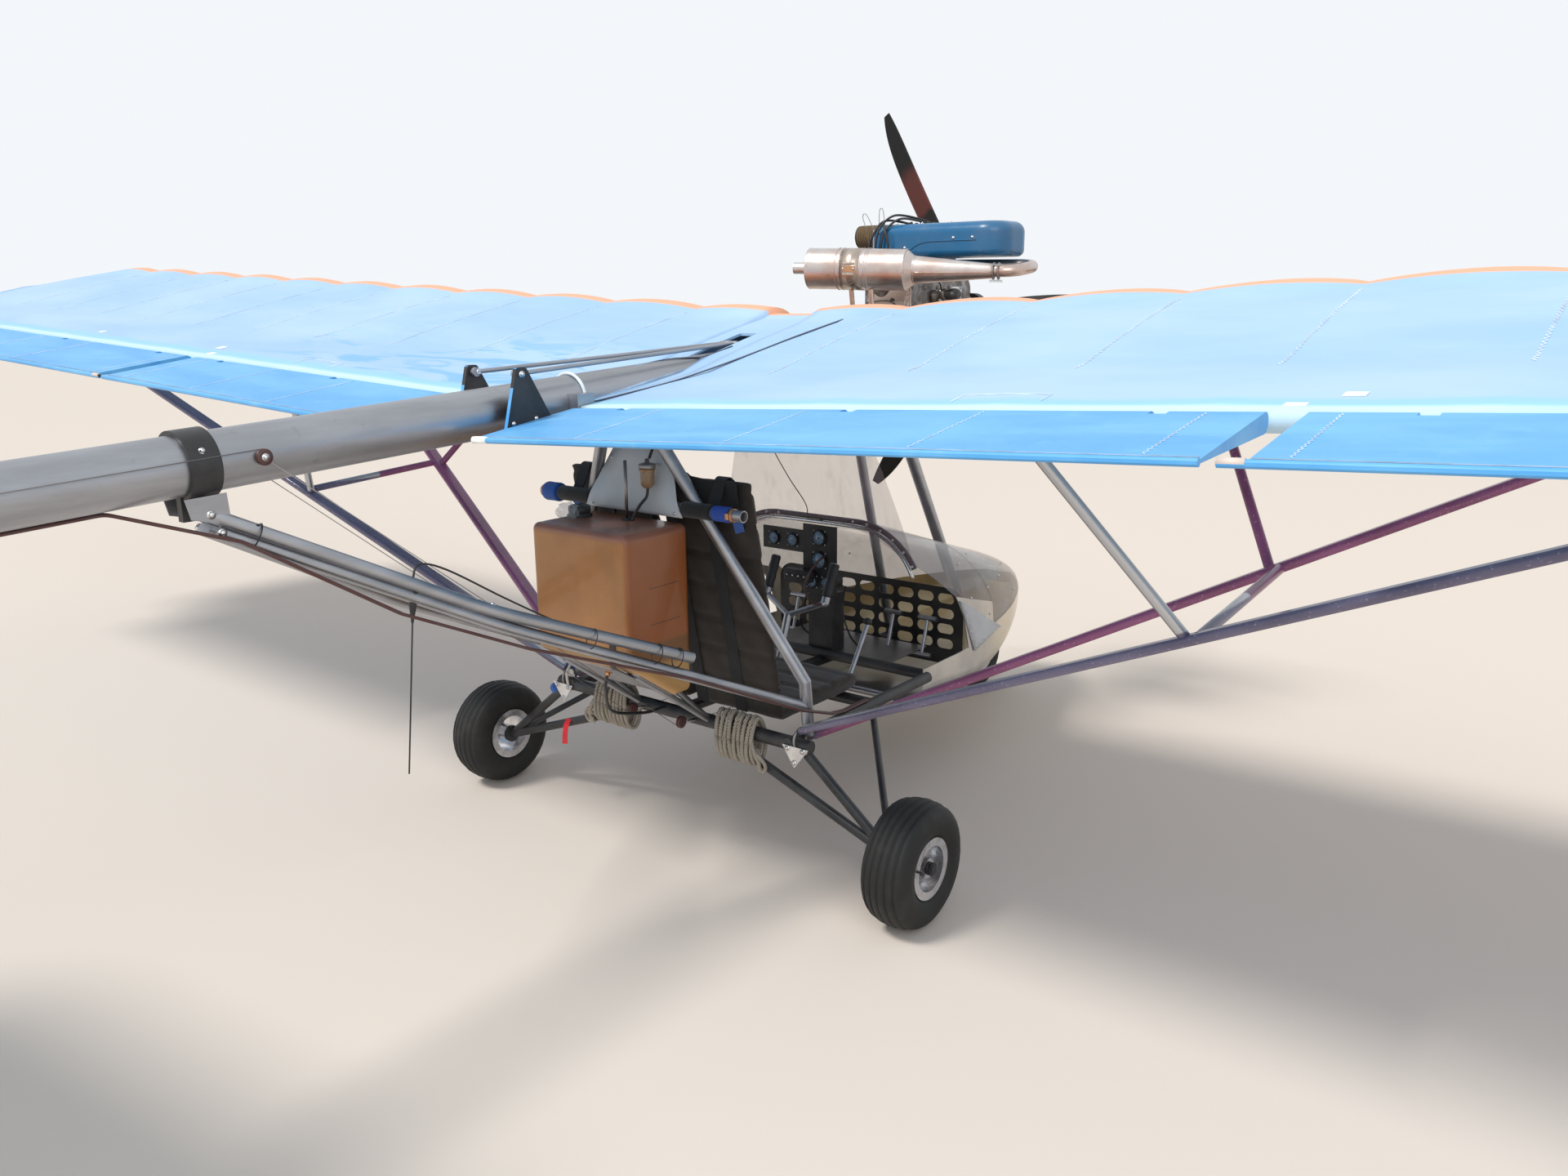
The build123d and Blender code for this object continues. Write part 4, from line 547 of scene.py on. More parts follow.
class Piece:
    """One mesh put together from plain forms. Points are tuples or Vectors, as in point()."""

    def __init__(self, name, *looks):
        self.name, self.looks, self.look = name, looks, 0
        self.mesh = bmesh.new()

    def use(self, look):
        self.look = self.looks.index(look)
        return self

    def take(self, verts, faces, smooth=True):
        made = [self.mesh.verts.new(point(v)) for v in verts]
        for face in faces:
            f = self.mesh.faces.new([made[i] for i in face])
            f.material_index = self.look
            f.smooth = smooth
        return self

    def absorb(self, other):
        """Copy a small bmesh in, then free it."""
        other.verts.index_update()
        self.take([v.co.copy() for v in other.verts], [[v.index for v in f.verts] for f in other.faces], False)
        other.free()
        return self

    def prism(self, outlines):
        """A flat plate between two matching outlines."""
        near, far = outlines
        return self.take(near + far, loft(2, len(near)), False)

    def rod(self, a, b, r, r2=None, sides=14):
        a, b = point(a), point(b)
        spin = (b - a).to_track_quat("Z", "Y")
        return self.take([base + spin @ Vector((radius * c, radius * s, 0))
                          for base, radius in ((a, r), (b, r2 or r)) for c, s in circle(sides)], loft(2, sides))

    def pipe(self, points, r, sides=10, fine=6):
        """A round cord along a smooth curve through the points."""
        line = smooth_line([point(p) for p in points], fine)
        verts, last = [], None
        for i, p in enumerate(line):
            ahead = way_at(line, i)
            side = ahead.cross(Vector(UP))
            if side.length < 0.05:
                side = ahead.cross(Vector(ACROSS))
            side.normalize()
            if last is not None and side.dot(last) < 0:
                side.negate()
            last = side
            top = side.cross(ahead)
            verts += [p + side * (r * c) + top * (r * s) for c, s in circle(sides)]
        return self.take(verts, loft(len(line), sides))

    def ribbon(self, points, width, thick, across=ACROSS):
        """A flat strap along points, its width along one direction."""
        line = smooth_line([point(p) for p in points], 5)
        across, verts = Vector(across), []
        for i, p in enumerate(line):
            ahead = way_at(line, i)
            wide = (across - ahead * ahead.dot(across)).normalized()
            out = ahead.cross(wide)
            verts += [p + wide * (s * width / 2) + out * (t * thick / 2)
                      for s, t in ((-1, -1), (1, -1), (1, 1), (-1, 1))]
        return self.take(verts, loft(len(line), 4), False)

    def block(self, center, size, turn=None, bevel=0.0):
        """A box with rounded edges, turned by a rotation matrix."""
        bm = bmesh.new()
        bmesh.ops.create_cube(bm, size=1.0)
        bmesh.ops.scale(bm, vec=Vector(size), verts=bm.verts)
        if bevel:
            bmesh.ops.bevel(bm, geom=bm.edges[:], offset=bevel, segments=3, affect="EDGES", profile=0.5)
        if turn is not None:
            bmesh.ops.transform(bm, matrix=turn.to_4x4(), verts=bm.verts)
        bmesh.ops.translate(bm, vec=point(center), verts=bm.verts)
        return self.absorb(bm)

    def turned(self, center, axis, outline, sides=28):
        """A body of revolution: the outline gives (distance along the axis, radius)."""
        center, spin = point(center), Vector(axis).to_track_quat("Z", "Y")
        return self.take([center + spin @ Vector((radius * c, radius * s, along))
                          for along, radius in outline for c, s in circle(sides)], loft(len(outline), sides))

    def ring(self, center, axis, loop, sides):
        """A closed ring: the loop gives (distance along the axis, radius) round its section."""
        center, spin = point(center), Vector(axis).to_track_quat("Z", "Y")
        return self.take([center + spin @ Vector((radius * c, radius * s, along))
                          for c, s in circle(sides) for along, radius in loop],
                         loft(sides, len(loop), ring=True))

    def torus(self, center, axis, radius, thick, around=28, sides=8):
        return self.ring(center, axis, [(thick * s, radius + thick * c) for c, s in circle(sides)], around)

    def bolt(self, center, axis, r, tall):
        """A washer with a hexagon head on it."""
        axis, center = Vector(axis).normalized(), point(center)
        self.rod(center - axis * 0.001, center + axis * 0.0015, r * 1.45, sides=16)
        return self.rod(center + axis * 0.0015, center + axis * (0.0015 + tall), r, sides=6)

    def bolts(self, centers, axis, r, tall):
        for center in centers:
            self.bolt(center, axis, r, tall)
        return self

    def done(self, body, slot, replaces=()):
        """Make the object, and let it ride on its body."""
        bmesh.ops.recalc_face_normals(self.mesh, faces=self.mesh.faces)
        data = bpy.data.meshes.new(self.name)
        self.mesh.to_mesh(data)
        self.mesh.free()
        for look in self.looks:
            data.materials.append(M[look])
        thing = add_object(self.name, data)
        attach(thing, body)
        for node in replaces:
            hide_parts(node)
        return thing


# Camera, floor and light
CAMERA_AT = Vector((-2.519, 2.003, 1.758))
CAMERA_YAW, CAMERA_PITCH, CAMERA_ROLL = radians(37.81), radians(13.87), radians(-0.48)
FOCAL_SHARE = 1466.9 / 1920        # focal length over the picture's width
SENSOR = 36.0
LAMP_AIM = Vector((0, -0.8, 0.7))


def make_camera():
    """The camera stands where the photograph was taken."""
    level = Vector((sin(CAMERA_YAW), -cos(CAMERA_YAW), 0))
    look = level * cos(CAMERA_PITCH) - Vector((0, 0, sin(CAMERA_PITCH)))
    right = Vector((-cos(CAMERA_YAW), -sin(CAMERA_YAW), 0))
    up = right.cross(look)
    right, up = (right * cos(CAMERA_ROLL) + up * sin(CAMERA_ROLL),
                 up * cos(CAMERA_ROLL) - right * sin(CAMERA_ROLL))
    data = bpy.data.cameras.new("photo_camera")
    data.sensor_width = SENSOR
    data.sensor_fit = "HORIZONTAL"
    data.lens = SENSOR * FOCAL_SHARE
    data.clip_end = 300.0
    camera = add_object("photo_camera", data)
    camera.matrix_world = Matrix([(*row, place) for *row, place in zip(right, up, -look, CAMERA_AT)]
                                 + [(0, 0, 0, 1)])
    bpy.context.scene.camera = camera


def make_stage():
    """A pale floor, an even sky and soft lamps."""
    bm = bmesh.new()
    bmesh.ops.create_grid(bm, x_segments=1, y_segments=1, size=60.0)
    data = bpy.data.meshes.new("floor")
    bm.to_mesh(data)
    bm.free()
    floor = add_object("floor", data)
    data.materials.append(Shade("floor_pale", (0.73, 0.645, 0.57), 0.9).mat)
    world = bpy.data.worlds.new("even_sky")
    bpy.context.scene.world = world
    world.use_nodes = True
    tree = world.node_tree
    tree.nodes.clear()
    # Straight looks, mirrors and glass meet a brighter sky than the one that lights
    rays = tree.nodes.new("ShaderNodeLightPath")
    seen = rays.outputs["Is Camera Ray"]
    for kind in ("Is Glossy Ray", "Is Transmission Ray"):
        either = tree.nodes.new("ShaderNodeMath")
        either.operation = "MAXIMUM"
        tree.links.new(seen, either.inputs[0])
        tree.links.new(rays.outputs[kind], either.inputs[1])
        seen = either.outputs[0]
    mixer = tree.nodes.new("ShaderNodeMixShader")
    tree.links.new(seen, mixer.inputs[0])
    for place, tone, strength in ((1, (0.86, 0.93, 1.0, 1), 0.62), (2, (0.90, 0.93, 0.96, 1), 1.0)):
        glow = tree.nodes.new("ShaderNodeBackground")
        glow.inputs["Color"].default_value = tone
        glow.inputs["Strength"].default_value = strength
        tree.links.new(glow.outputs[0], mixer.inputs[place])
    out = tree.nodes.new("ShaderNodeOutputWorld")
    tree.links.new(mixer.outputs[0], out.inputs["Surface"])
    sun = bpy.data.lights.new("key", "SUN")
    sun.energy, sun.angle, sun.color = 2.3, radians(14), (1.0, 0.97, 0.92)
    add_object("key", sun).rotation_euler = Vector((0.30, 0.62, 1.0)).to_track_quat("Z", "Y").to_euler()
    soft = bpy.data.lights.new("fill", "AREA")
    soft.energy, soft.size = 600.0, 9.0
    lamp = add_object("fill", soft)
    lamp.location = (-10.0, 8.0, 9.0)
    lamp.rotation_euler = (lamp.location - LAMP_AIM).to_track_quat("Z", "Y").to_euler()


make_camera()
make_stage()
bpy.context.scene.view_settings.view_transform = "Standard"


# Wing cloth
def arc(a, b, c, count):
    """Points on the circle through three points in a plane, from a to c."""
    (x1, y1), (x2, y2), (x3, y3) = a, b, c
    d = 2 * (x1 * (y2 - y3) + x2 * (y3 - y1) + x3 * (y1 - y2))
    s1, s2, s3 = x1 * x1 + y1 * y1, x2 * x2 + y2 * y2, x3 * x3 + y3 * y3
    cx = (s1 * (y2 - y3) + s2 * (y3 - y1) + s3 * (y1 - y2)) / d
    cy = (s1 * (x3 - x2) + s2 * (x1 - x3) + s3 * (x2 - x1)) / d
    r = math.hypot(x1 - cx, y1 - cy)
    start = math.atan2(y1 - cy, x1 - cx)
    middle = (math.atan2(y2 - cy, x2 - cx) - start) % (2 * pi)
    end = (math.atan2(y3 - cy, x3 - cx) - start) % (2 * pi)
    if middle > end:
        end -= 2 * pi
    return [(cx + r * cos(start + end * i / count), cy + r * sin(start + end * i / count))
            for i in range(count + 1)]


def wing_outline():
    """The wing section: (behind the axle, height) from the spar over the top and back below."""
    points = [(SPAR_Y, 1.460), (0.38, 1.470), (0.28, 1.486), (0.18, 1.501), (0.09, 1.5145)]
    points += arc((0.0, 1.528), (-0.32, 1.611), (-0.6, 1.672), 14)
    points += arc((-0.6, 1.672), (-0.768, 1.648), (LEAD_Y, 1.585), 12)[1:]
    points += arc((LEAD_Y, 1.585), (-0.732, 1.511), (-0.5, 1.488), 10)[1:]
    return points + [(-0.38, 1.480), (-0.2, 1.466), (0.0, 1.450), (0.2, 1.434), (SPAR_Y, 1.416)]


RIB_SAG = 0.0045                # how far the cloth is drawn in between ribs
LEAD_PUFF = 0.020               # how far it stands out between ribs at the leading edge
CLOTH_END = 0.4415


def between_ribs(x):
    """0 on a rib, 1 midway between two."""
    return sin(pi * (((abs(x) - FIRST_RIB) / RIB_PITCH) % 1.0)) ** 0.7


def nose_share(y):
    """0 behind the leading edge, 1 on it."""
    return max(0.0, min(1.0, (-y - 0.52) / 0.16))


def wing_skin(side):
    """Rows of points of the cloth: full at the leading edge, drawn tight behind it, round at the tip."""
    outline = wing_outline()
    stations = [WING_ROOT + 0.0375 * i for i in range(int((TIP_X - WING_ROOT) / 0.0375) + 1)]
    stations += [TIP_X + TIP_LONG * sin(pi / 2 * i / 10) for i in range(1, 11)]
    rows = []
    for x in stations:
        tip = max(0.0, (x - TIP_X) / TIP_LONG)
        full = between_ribs(x) * (1 - tip)
        thin = math.sqrt(max(0.0, 1 - 0.97 * tip * tip))
        lead = LEAD_Y + (0.52 * (1 - math.sqrt(max(0.0, 1 - tip * tip))))
        row = []
        for i, (y, z) in enumerate(outline):
            before, after = outline[max(i - 1, 0)], outline[min(i + 1, len(outline) - 1)]
            tangent = Vector((after[0] - before[0], after[1] - before[1])).normalized()
            top = 1.0 if i < len(outline) * 0.6 else 0.5
            puff = 0.0
            if y <= 0.40:
                puff = full * (LEAD_PUFF * nose_share(y) - RIB_SAG * (1 - nose_share(y)) * top)
            puff += 0.0012 * sin(34 * y + 9 * x) * sin(5.3 * x + 2.1) * (1 if y < 0.36 else 0)
            yy, zz = y + tangent.y * puff, z - tangent.x * puff
            mid = 1.58 + (1.436 - 1.58) * max(0, min(1, (yy - LEAD_Y) / 1.25))
            zz = mid + (zz - mid) * thin
            if tip > 0 and yy < CLOTH_END:
                yy = lead + (yy - LEAD_Y) * (CLOTH_END - lead) / (CLOTH_END - LEAD_Y)
            row.append((side * x, yy, zz + DIHEDRAL * x))
        rows.append(row)
    return rows


for side, name in SIDES:
    rows = wing_skin(side)
    skin = Piece(f"wing_skin_{name}", "cloth")
    skin.take([p for row in rows for p in row], loft(len(rows), len(rows[0])))
    skin.done("airframe", "wing_cloth", [f"wing_{name}"])

# The upper cloth from the spar forward to the crest
WING_TOP = wing_outline()[:19]


def skin_point(x, y, lift=0.0015):
    """A point just above the wing's upper cloth."""
    for (y1, z1), (y2, z2) in zip(WING_TOP, WING_TOP[1:]):
        if y2 <= y <= y1:
            break
    z = z1 + (z2 - z1) * (y1 - y) / (y1 - y2)
    return at(x, y, z - RIB_SAG * between_ribs(x) * (1 - nose_share(y)) + DIHEDRAL * abs(x) + lift)


def flap_point(x, y, lift=0.001):
    """A point just above a flap or aileron."""
    return at(x, y, 1.457 - 0.144 * (y - HINGE_Y) + DIHEDRAL * abs(x) + lift)


def solid_tree(*names):
    """Search trees of CAD nodes, to set small pieces on them."""
    trees = []
    for name in names:
        mesh = bmesh.new()
        mesh.from_mesh(NODES[name].data)
        trees.append(BVHTree.FromBMesh(mesh))
        mesh.free()
    return trees


def land(trees, start, direction, lift=0.0):
    """Where a ray first meets the solids, and the outward direction there, or None."""
    start, direction, best = point(start), Vector(direction), None
    for tree in trees:
        place, normal, _, reach = tree.ray_cast(start, direction.normalized())
        if place is not None and (best is None or reach < best[0]):
            best = (reach, place, normal if normal.dot(direction) < 0 else -normal)
    return (best[1] + best[2] * lift, best[2]) if best else None


# Zig-zag threads over the ribs, sewn patches, seams, tube ends, and the flap horns with their bolts
HORN = ((0.542, 1.436), (0.698, 1.421), (0.6572, 1.5745), (0.6508, 1.5785), (0.6292, 1.5785),
        (0.6228, 1.5745))
for side, name in SIDES:
    out, outward = (side, 0, 0), (side, 0, DIHEDRAL)
    sewn = Piece(f"wing_stitching_{name}", "thread", "whitecloth")
    for n in range(10):
        x = side * (FIRST_RIB + RIB_PITCH * n)
        sewn.pipe([skin_point(x + (0.004 if k % 2 else -0.004), 0.06 - 0.01 * k) for k in range(66)],
                  0.0009, 4, 1)
    frame_line = [(1.20, 0.376), (1.20, 0.317), (1.305, 0.315), (1.41, 0.317), (1.41, 0.376)]
    sewn.pipe([skin_point(side * x, y) for x, y in frame_line], 0.0009, 4, 1)
    sewn.use("whitecloth")
    for x0, x1, y0, y1 in ((1.90, 1.94, 0.385, 0.438), (1.98, 2.02, 0.30, 0.33), (2.97, 3.0, 0.30, 0.325)):
        sewn.prism([[skin_point(side * x, y, lift) for x, y in ((x0, y0), (x1, y0), (x1, y1), (x0, y1))]
                    for lift in (0.0005, 0.002)])
    sewn.done("airframe", "wing_cloth")
    for body, ribs, start, end in ((f"flap_{name}", (0.44, 0.89, 1.34, 1.79), 0.104, 1.886),
                                   (f"aileron_{name}", (2.02, 2.69, 3.14, 3.59, 4.04, 4.49), 1.966, 4.69)):
        seam = Piece(f"{body}_seams", "thread", "patch")
        for x in ribs:
            seam.pipe([flap_point(side * (x + (0.003 if k % 2 else -0.003)), HINGE_Y + 0.012 + 0.009 * k)
                       for k in range(34)], 0.0007, 4, 1)
        seam.use("patch")
        for y in (0.786, 0.789):
            seam.pipe([flap_point(side * x, y, 0.0006) for x in (start, end)], 0.0008, 4)
        seam.done(body, "wing_cloth")
    cap = Piece(f"aileron_tube_end_{name}", "white", "black")
    tube_z = flap_point(1.94, TRAIL_Y).z - 0.0045
    cap.turned((side * 1.9175, TRAIL_Y, tube_z), outward, collar(0.0062, 0.0078, 0.044), 18)
    # A black disc in the collar is painted shade in the tube's open end
    cap.use("black").rod((side * 1.9172, TRAIL_Y, tube_z), (side * 1.9178, TRAIL_Y, tube_z), 0.006)
    cap.done(f"aileron_{name}", "wing_cloth")
    # White wrap on the flap's inner rear corner
    wrap = Piece(f"flap_corner_wrap_{name}", "whitecloth")
    wrap.turned((side * 0.102, TRAIL_Y, flap_point(0.1, TRAIL_Y).z - 0.0045), outward,
                [(0.0, 0.004), (0.0, 0.0088), (0.03, 0.0092), (0.052, 0.0084), (0.052, 0.004)], 18)
    wrap.done(f"flap_{name}", "wing_cloth")
    horn = Piece(f"flap_horn_{name}", "black", "bright")
    horn.prism([[(side * x, y, z) for y, z in HORN] for x in (0.0915, 0.1035)])
    horn.use("bright").bolt((side * 0.1035, 0.64, 1.561), out, 0.006, 0.005)
    horn.bolt((side * 0.0915, 0.64, 1.561), (-side, 0, 0), 0.0055, 0.003)
    horn.bolts([(side * 0.1035, y, 1.446 - 0.1 * (y - 0.6)) for y in (0.60, 0.675)], out, 0.004, 0.003)
    horn.done(f"flap_{name}", "black_metal")

ends = Piece("flap_rod_ends", "bright")
for side in (1, -1):
    ends.turned((side * 0.0735, 0.632, 1.561), (side, 0, 0), collar(0.0050, 0.0085, 0.0115), 20)
ends.done("flap_rods", SLOT["flap_rods"])

# Centre cover: dark tape lines, pale triangular patch and piping round the boom opening
cover_top = solid_tree("centre_cover", "boom")


def cover_point(x, y, lift):
    """A point on the centre cover, or on the wing beside it."""
    if abs(x) > WING_ROOT:
        return skin_point(x, y, lift)
    return land(cover_top, at(x, y, 2.2), (0, 0, -1), lift)[0]


TAPE_LINES = {
    0.010: ((-0.095, 0.385), (-0.115, 0.30), (-0.15, 0.10), (-0.19, -0.12), (-0.235, -0.35), (-0.27, -0.55)),
    0.006: ((0.062, 0.37), (0.050, 0.25), (0.00, 0.0), (-0.030, -0.14), (-0.054, -0.25)),
}
PATCH = ((0.050, 0.372), (-0.066, 0.380), (-0.067, 0.30), (-0.067, 0.15), (-0.055, -0.02), (-0.012, 0.12),
         (0.03, 0.27))
trim = Piece("centre_cover_trim", "hook", "patch", "thread")
for width, line in TAPE_LINES.items():
    trim.ribbon([cover_point(x, y, 0.002) for x, y in line], width, 0.002)
trim.use("patch").prism([[cover_point(x, y, lift) for x, y in PATCH] for lift in (0.0006, 0.0018)])
trim.use("thread").pipe([(0.069 * cos(a), 0.392, boom_z(0.392) + 0.070 * sin(a))
                         for a in [radians(-25 + 230 * k / 22) for k in range(23)]], 0.0045, 8, 2)
trim.pipe([(x, 0.40 + 0.005 * k, boom_z(0.4) - 0.03 - 0.01 * k)
           for k, x in enumerate((-0.070, -0.078, -0.086, -0.097))], 0.007, 8, 3)
trim.done("airframe", "wing_cloth")

# Boom: pulleys, clamp bolts and plates, cable wires and ties
rig = Piece("boom_fittings", "bright", "brown", "steel")
for side in (1, -1):
    out = (side, 0, 0)
    rig.use("brown").turned((side * 0.064, 1.33, 1.424), out, [
        (0.0, 0.012), (0.001, 0.018), (0.003, 0.018), (0.0055, 0.0135), (0.008, 0.018), (0.010, 0.018),
        (0.011, 0.010)])
    rig.use("bright").bolt((side * 0.075, 1.33, 1.424), out, 0.006, 0.004)
    rig.bolts(mirror(side, (0.0485, 1.449, 1.314), (0.0485, 1.430, 1.272)), out, 0.007, 0.006)
    rig.bolt((side * 0.0655, 1.46, boom_z(1.46) + 0.033), (side * 0.9, 0, 0.45), 0.005, 0.004)
    for a, b in (((0.073, 2.9, boom_z(2.9) + 0.018), (0.073, 1.34, 1.442)),
                 ((0.073, 1.318, 1.412), (0.105, 0.105, 0.452)),
                 ((0.105, 0.075, 0.452), (0.15, -1.0, 0.42))):
        rig.use("steel").rod(*mirror(side, a, b), 0.0011, sides=6)
    rig.use("brown").turned((side * 0.105 - 0.006, 0.09, 0.462), ACROSS, [
        (0.0, 0.012), (0.001, 0.019), (0.003, 0.019), (0.006, 0.014), (0.009, 0.019), (0.011, 0.019),
        (0.012, 0.012)])
    rig.use("bright").rod(*mirror(side, (0.105, 0.09, 0.462), (0.105, 0.02, 0.452)), 0.004)
rig.done("airframe", "worn_steel")

BRACE = {side: [at(*p) for p in mirror(side, (0.030, 1.449, 1.314), (0.215, 0.868, 1.004),
                                       (0.384, 0.337, 0.784))] for side, _ in SIDES}
ties = Piece("brace_ties", "black", "bright")
for y, drop in ((1.36, 0.010), (0.62, 0.012), (0.44, 0.012), (0.38, 0.010)):
    a, b, c = BRACE[-1]
    first, last = (a, b) if y > 0.868 else (b, c)
    spot = first.lerp(last, (y + AXLE_Y - first.y) / (last.y - first.y))
    ties.use("black").torus(spot - Vector((0, 0, drop)), last - first, 0.027, 0.0016)
    ties.block(spot + Vector((-0.010, 0.0, 0.014)), (0.005, 0.006, 0.005), bevel=0.001)
for side in (1, -1):
    a, b, c = BRACE[side]
    along_brace = (c - b).normalized()
    # Open tube end: a black disc as painted shade in the bore, inside a bright rim
    ties.use("black").rod(c + along_brace * 0.0002, c + along_brace * 0.0012, 0.0125, sides=20)
    ties.use("bright").torus(c + along_brace * 0.0005, along_brace, 0.0145, 0.0014, sides=6)
    ties.bolt(b + Vector((0, 0, 0.016)), UP, 0.006, 0.004)
ties.done("airframe", "bare_alloy")

lead = Piece("antenna_lead", "rubber", "whitecloth")
lead.pipe([(-0.152, 1.046, 1.105), (-0.145, 1.02, 1.140), (-0.115, 0.92, 1.105), (-0.05, 0.693, 0.975),
           (-0.085, 0.55, 0.885), (-0.16, 0.47, 0.842), (-0.26, 0.47, 0.836), (-0.330, 0.485, 0.834)], 0.0026)
lead.use("whitecloth").turned((-0.152, 1.046, 1.082), UP, [
    (0.0, 0.006), (0.001, 0.0085), (0.020, 0.0085), (0.022, 0.005), (0.026, 0.004)], 16)
lead.done("airframe", "black_plastic")

# Fuel tank: filler neck, crumpled film, vent, bowl, strap and outlet
fuel = Piece("tank_fittings", "black", "bright", "bowl", "rubber", "steel", "copper")
fuel.use("black").turned((0.150, 0.235, 1.104), UP, [
    (0.0, 0.038), (0.010, 0.038), (0.012, 0.030), (0.016, 0.034), (0.034, 0.034), (0.037, 0.028)])
fuel.use("rubber").turned((-0.015, 0.20, 1.106), UP, [(0.0, 0.018), (0.006, 0.017), (0.010, 0.007)])
fuel.use("steel").rod((-0.015, 0.20, 1.11), (-0.015, 0.20, 1.285), 0.005)
fuel.use("steel").turned((-0.080, 0.175, 1.262), UP, [
    (0.0, 0.020), (0.002, 0.025), (0.014, 0.025), (0.016, 0.020), (0.018, 0.008), (0.030, 0.006)])
fuel.use("bowl").turned((-0.080, 0.175, 1.205), UP, [
    (0.0, 0.010), (0.006, 0.017), (0.014, 0.0205), (0.052, 0.0215), (0.058, 0.020)])
fuel.use("copper").torus((-0.080, 0.175, 1.260), UP, 0.022, 0.002)
fuel.use("rubber").pipe([(-0.080, 0.175, 1.205), (-0.078, 0.18, 1.18), (-0.06, 0.19, 1.155),
                         (-0.045, 0.2, 1.125), (-0.04, 0.205, 1.106)], 0.0045)
fuel.pipe([(-0.080, 0.165, 1.292), (-0.08, 0.14, 1.33), (-0.08, 0.09, 1.37), (-0.07, 0.02, 1.40)], 0.0045)
fuel.use("bright").block((-0.080, 0.135, 1.270), (0.030, 0.062, 0.004), bevel=0.001)
fuel.use("black").ribbon([(-0.13, 0.393, 0.79), (-0.13, 0.393, 0.74), (-0.13, 0.385, 0.716),
                          (-0.13, 0.29, 0.656),
                          (-0.13, 0.215, 0.600), (-0.13, 0.17, 0.5935)], 0.022, 0.002)
fuel.use("copper").bolt((-0.06, 0.345, 0.684), (0, 0.55, -0.83), 0.008, 0.012)
fuel.use("rubber").pipe([(-0.06, 0.352, 0.672), (-0.05, 0.35, 0.63), (0.0, 0.28, 0.53), (0.02, 0.12, 0.475),
                         (0.02, 0.03, 0.470)], 0.005)
fuel.done("airframe", "black_plastic")

# A crumpled clear bag over the neck
rng = random.Random(7)
bag = Piece("neck_film", "film")
mesh = bmesh.new()
bmesh.ops.create_icosphere(mesh, subdivisions=3, radius=1.0)
for v in mesh.verts:
    fold = 1 + 0.16 * sin(7 * v.co.x + 3 * v.co.z) * sin(6 * v.co.y + 2) + rng.uniform(-0.09, 0.09)
    v.co = at(0.160, 0.272, 1.128) + Vector((v.co.x * 0.040, v.co.y * 0.030, v.co.z * 0.030 - 0.004)) * fold
bag.absorb(mesh)
bag.done("airframe", "tinted_screen")

# Pale sheet above the tank, bowed over the shoulder tube between the V tubes
sheet = Piece("rear_panel_sheet", "panel", "bright")
SHEET = ((1.126, 0.1600), (1.138, 0.1612), (1.150, 0.1616), (1.162, 0.1612), (1.176, 0.1590), (1.215, 0.1440),
         (1.275, 0.1240), (1.334, 0.1040))
verts = [at(x * (0.200 - 0.45 * (z - 1.125)), y - back, z) for back in (0.0, 0.002) for z, y in SHEET
         for x in (-1.0, -0.5, 0.0, 0.5, 1.0)]
rows = len(SHEET)
faces = [[base + j * 5 + i, base + j * 5 + i + 1, base + (j + 1) * 5 + i + 1, base + (j + 1) * 5 + i]
         for base in (0, rows * 5) for j in range(rows - 1) for i in range(4)]
walk = [i for i in range(5)] + [5 * j + 4 for j in range(1, rows)] \
    + [5 * (rows - 1) + i for i in (3, 2, 1, 0)] \
    + [5 * j for j in range(rows - 2, 0, -1)]
faces += [[a, b, rows * 5 + b, rows * 5 + a] for a, b in zip(walk, walk[1:] + walk[:1])]
sheet.take(verts, faces)
for x, (z, y) in ((0.17, SHEET[1]), (-0.17, SHEET[1]), (0.12, SHEET[6]), (-0.12, SHEET[6])):
    sheet.use("bright").bolt((x, y, z), BACK, 0.0035, 0.0025)
sheet.done("airframe", SLOT["rear_panel"], ["rear_panel"])

# Shoulder tube: foam sleeves, blue wraps, a clamp and a hanging strap
shoulder = Piece("shoulder_tube_fittings", "webbing", "wrap", "copper", "foam")
for x0, x1, r, look in ((-0.300, -0.190, 0.0235, "webbing"), (-0.366, -0.306, 0.0225, "foam"),
                        (0.335, 0.395, 0.030, "wrap"), (0.190, 0.330, 0.0235, "webbing")):
    shoulder.use(look).turned((x0, 0.14, 1.15), ACROSS, [
        (0.0, 0.016), (0.001, r * 0.95), (0.006, r), ((x1 - x0) / 2, r * 0.975), (x1 - x0 - 0.006, r),
        (x1 - x0 - 0.001, r * 0.95), (x1 - x0, 0.016)])
for side, x, bore in ((-1, -0.368, -0.4144), (1, 0.398, 0.4144)):
    shoulder.use("copper").turned((x, 0.14, 1.15), (side, 0, 0), collar(0.017, 0.020, 0.012), 22)
    # A black disc in each open tube end is painted shade in the bore
    shoulder.use("webbing").rod((bore, 0.14, 1.15), (bore + side * 0.0006, 0.14, 1.15), 0.014, sides=20)
shoulder.use("copper").block((-0.372, 0.162, 1.150), (0.012, 0.014, 0.020), bevel=0.003)
shoulder.use("wrap").ribbon([(-0.349, 0.110, 1.148), (-0.340, 0.085, 1.128), (-0.318, 0.045, 1.085),
                             (-0.300, 0.010, 1.045), (-0.290, -0.010, 1.005)], 0.030, 0.003, (1, 0.3, 0))
shoulder.ribbon([(0.350, 0.110, 1.148), (0.345, 0.085, 1.125), (0.340, 0.055, 1.09)], 0.030, 0.003)
shoulder.done("airframe", "seat_cloth")

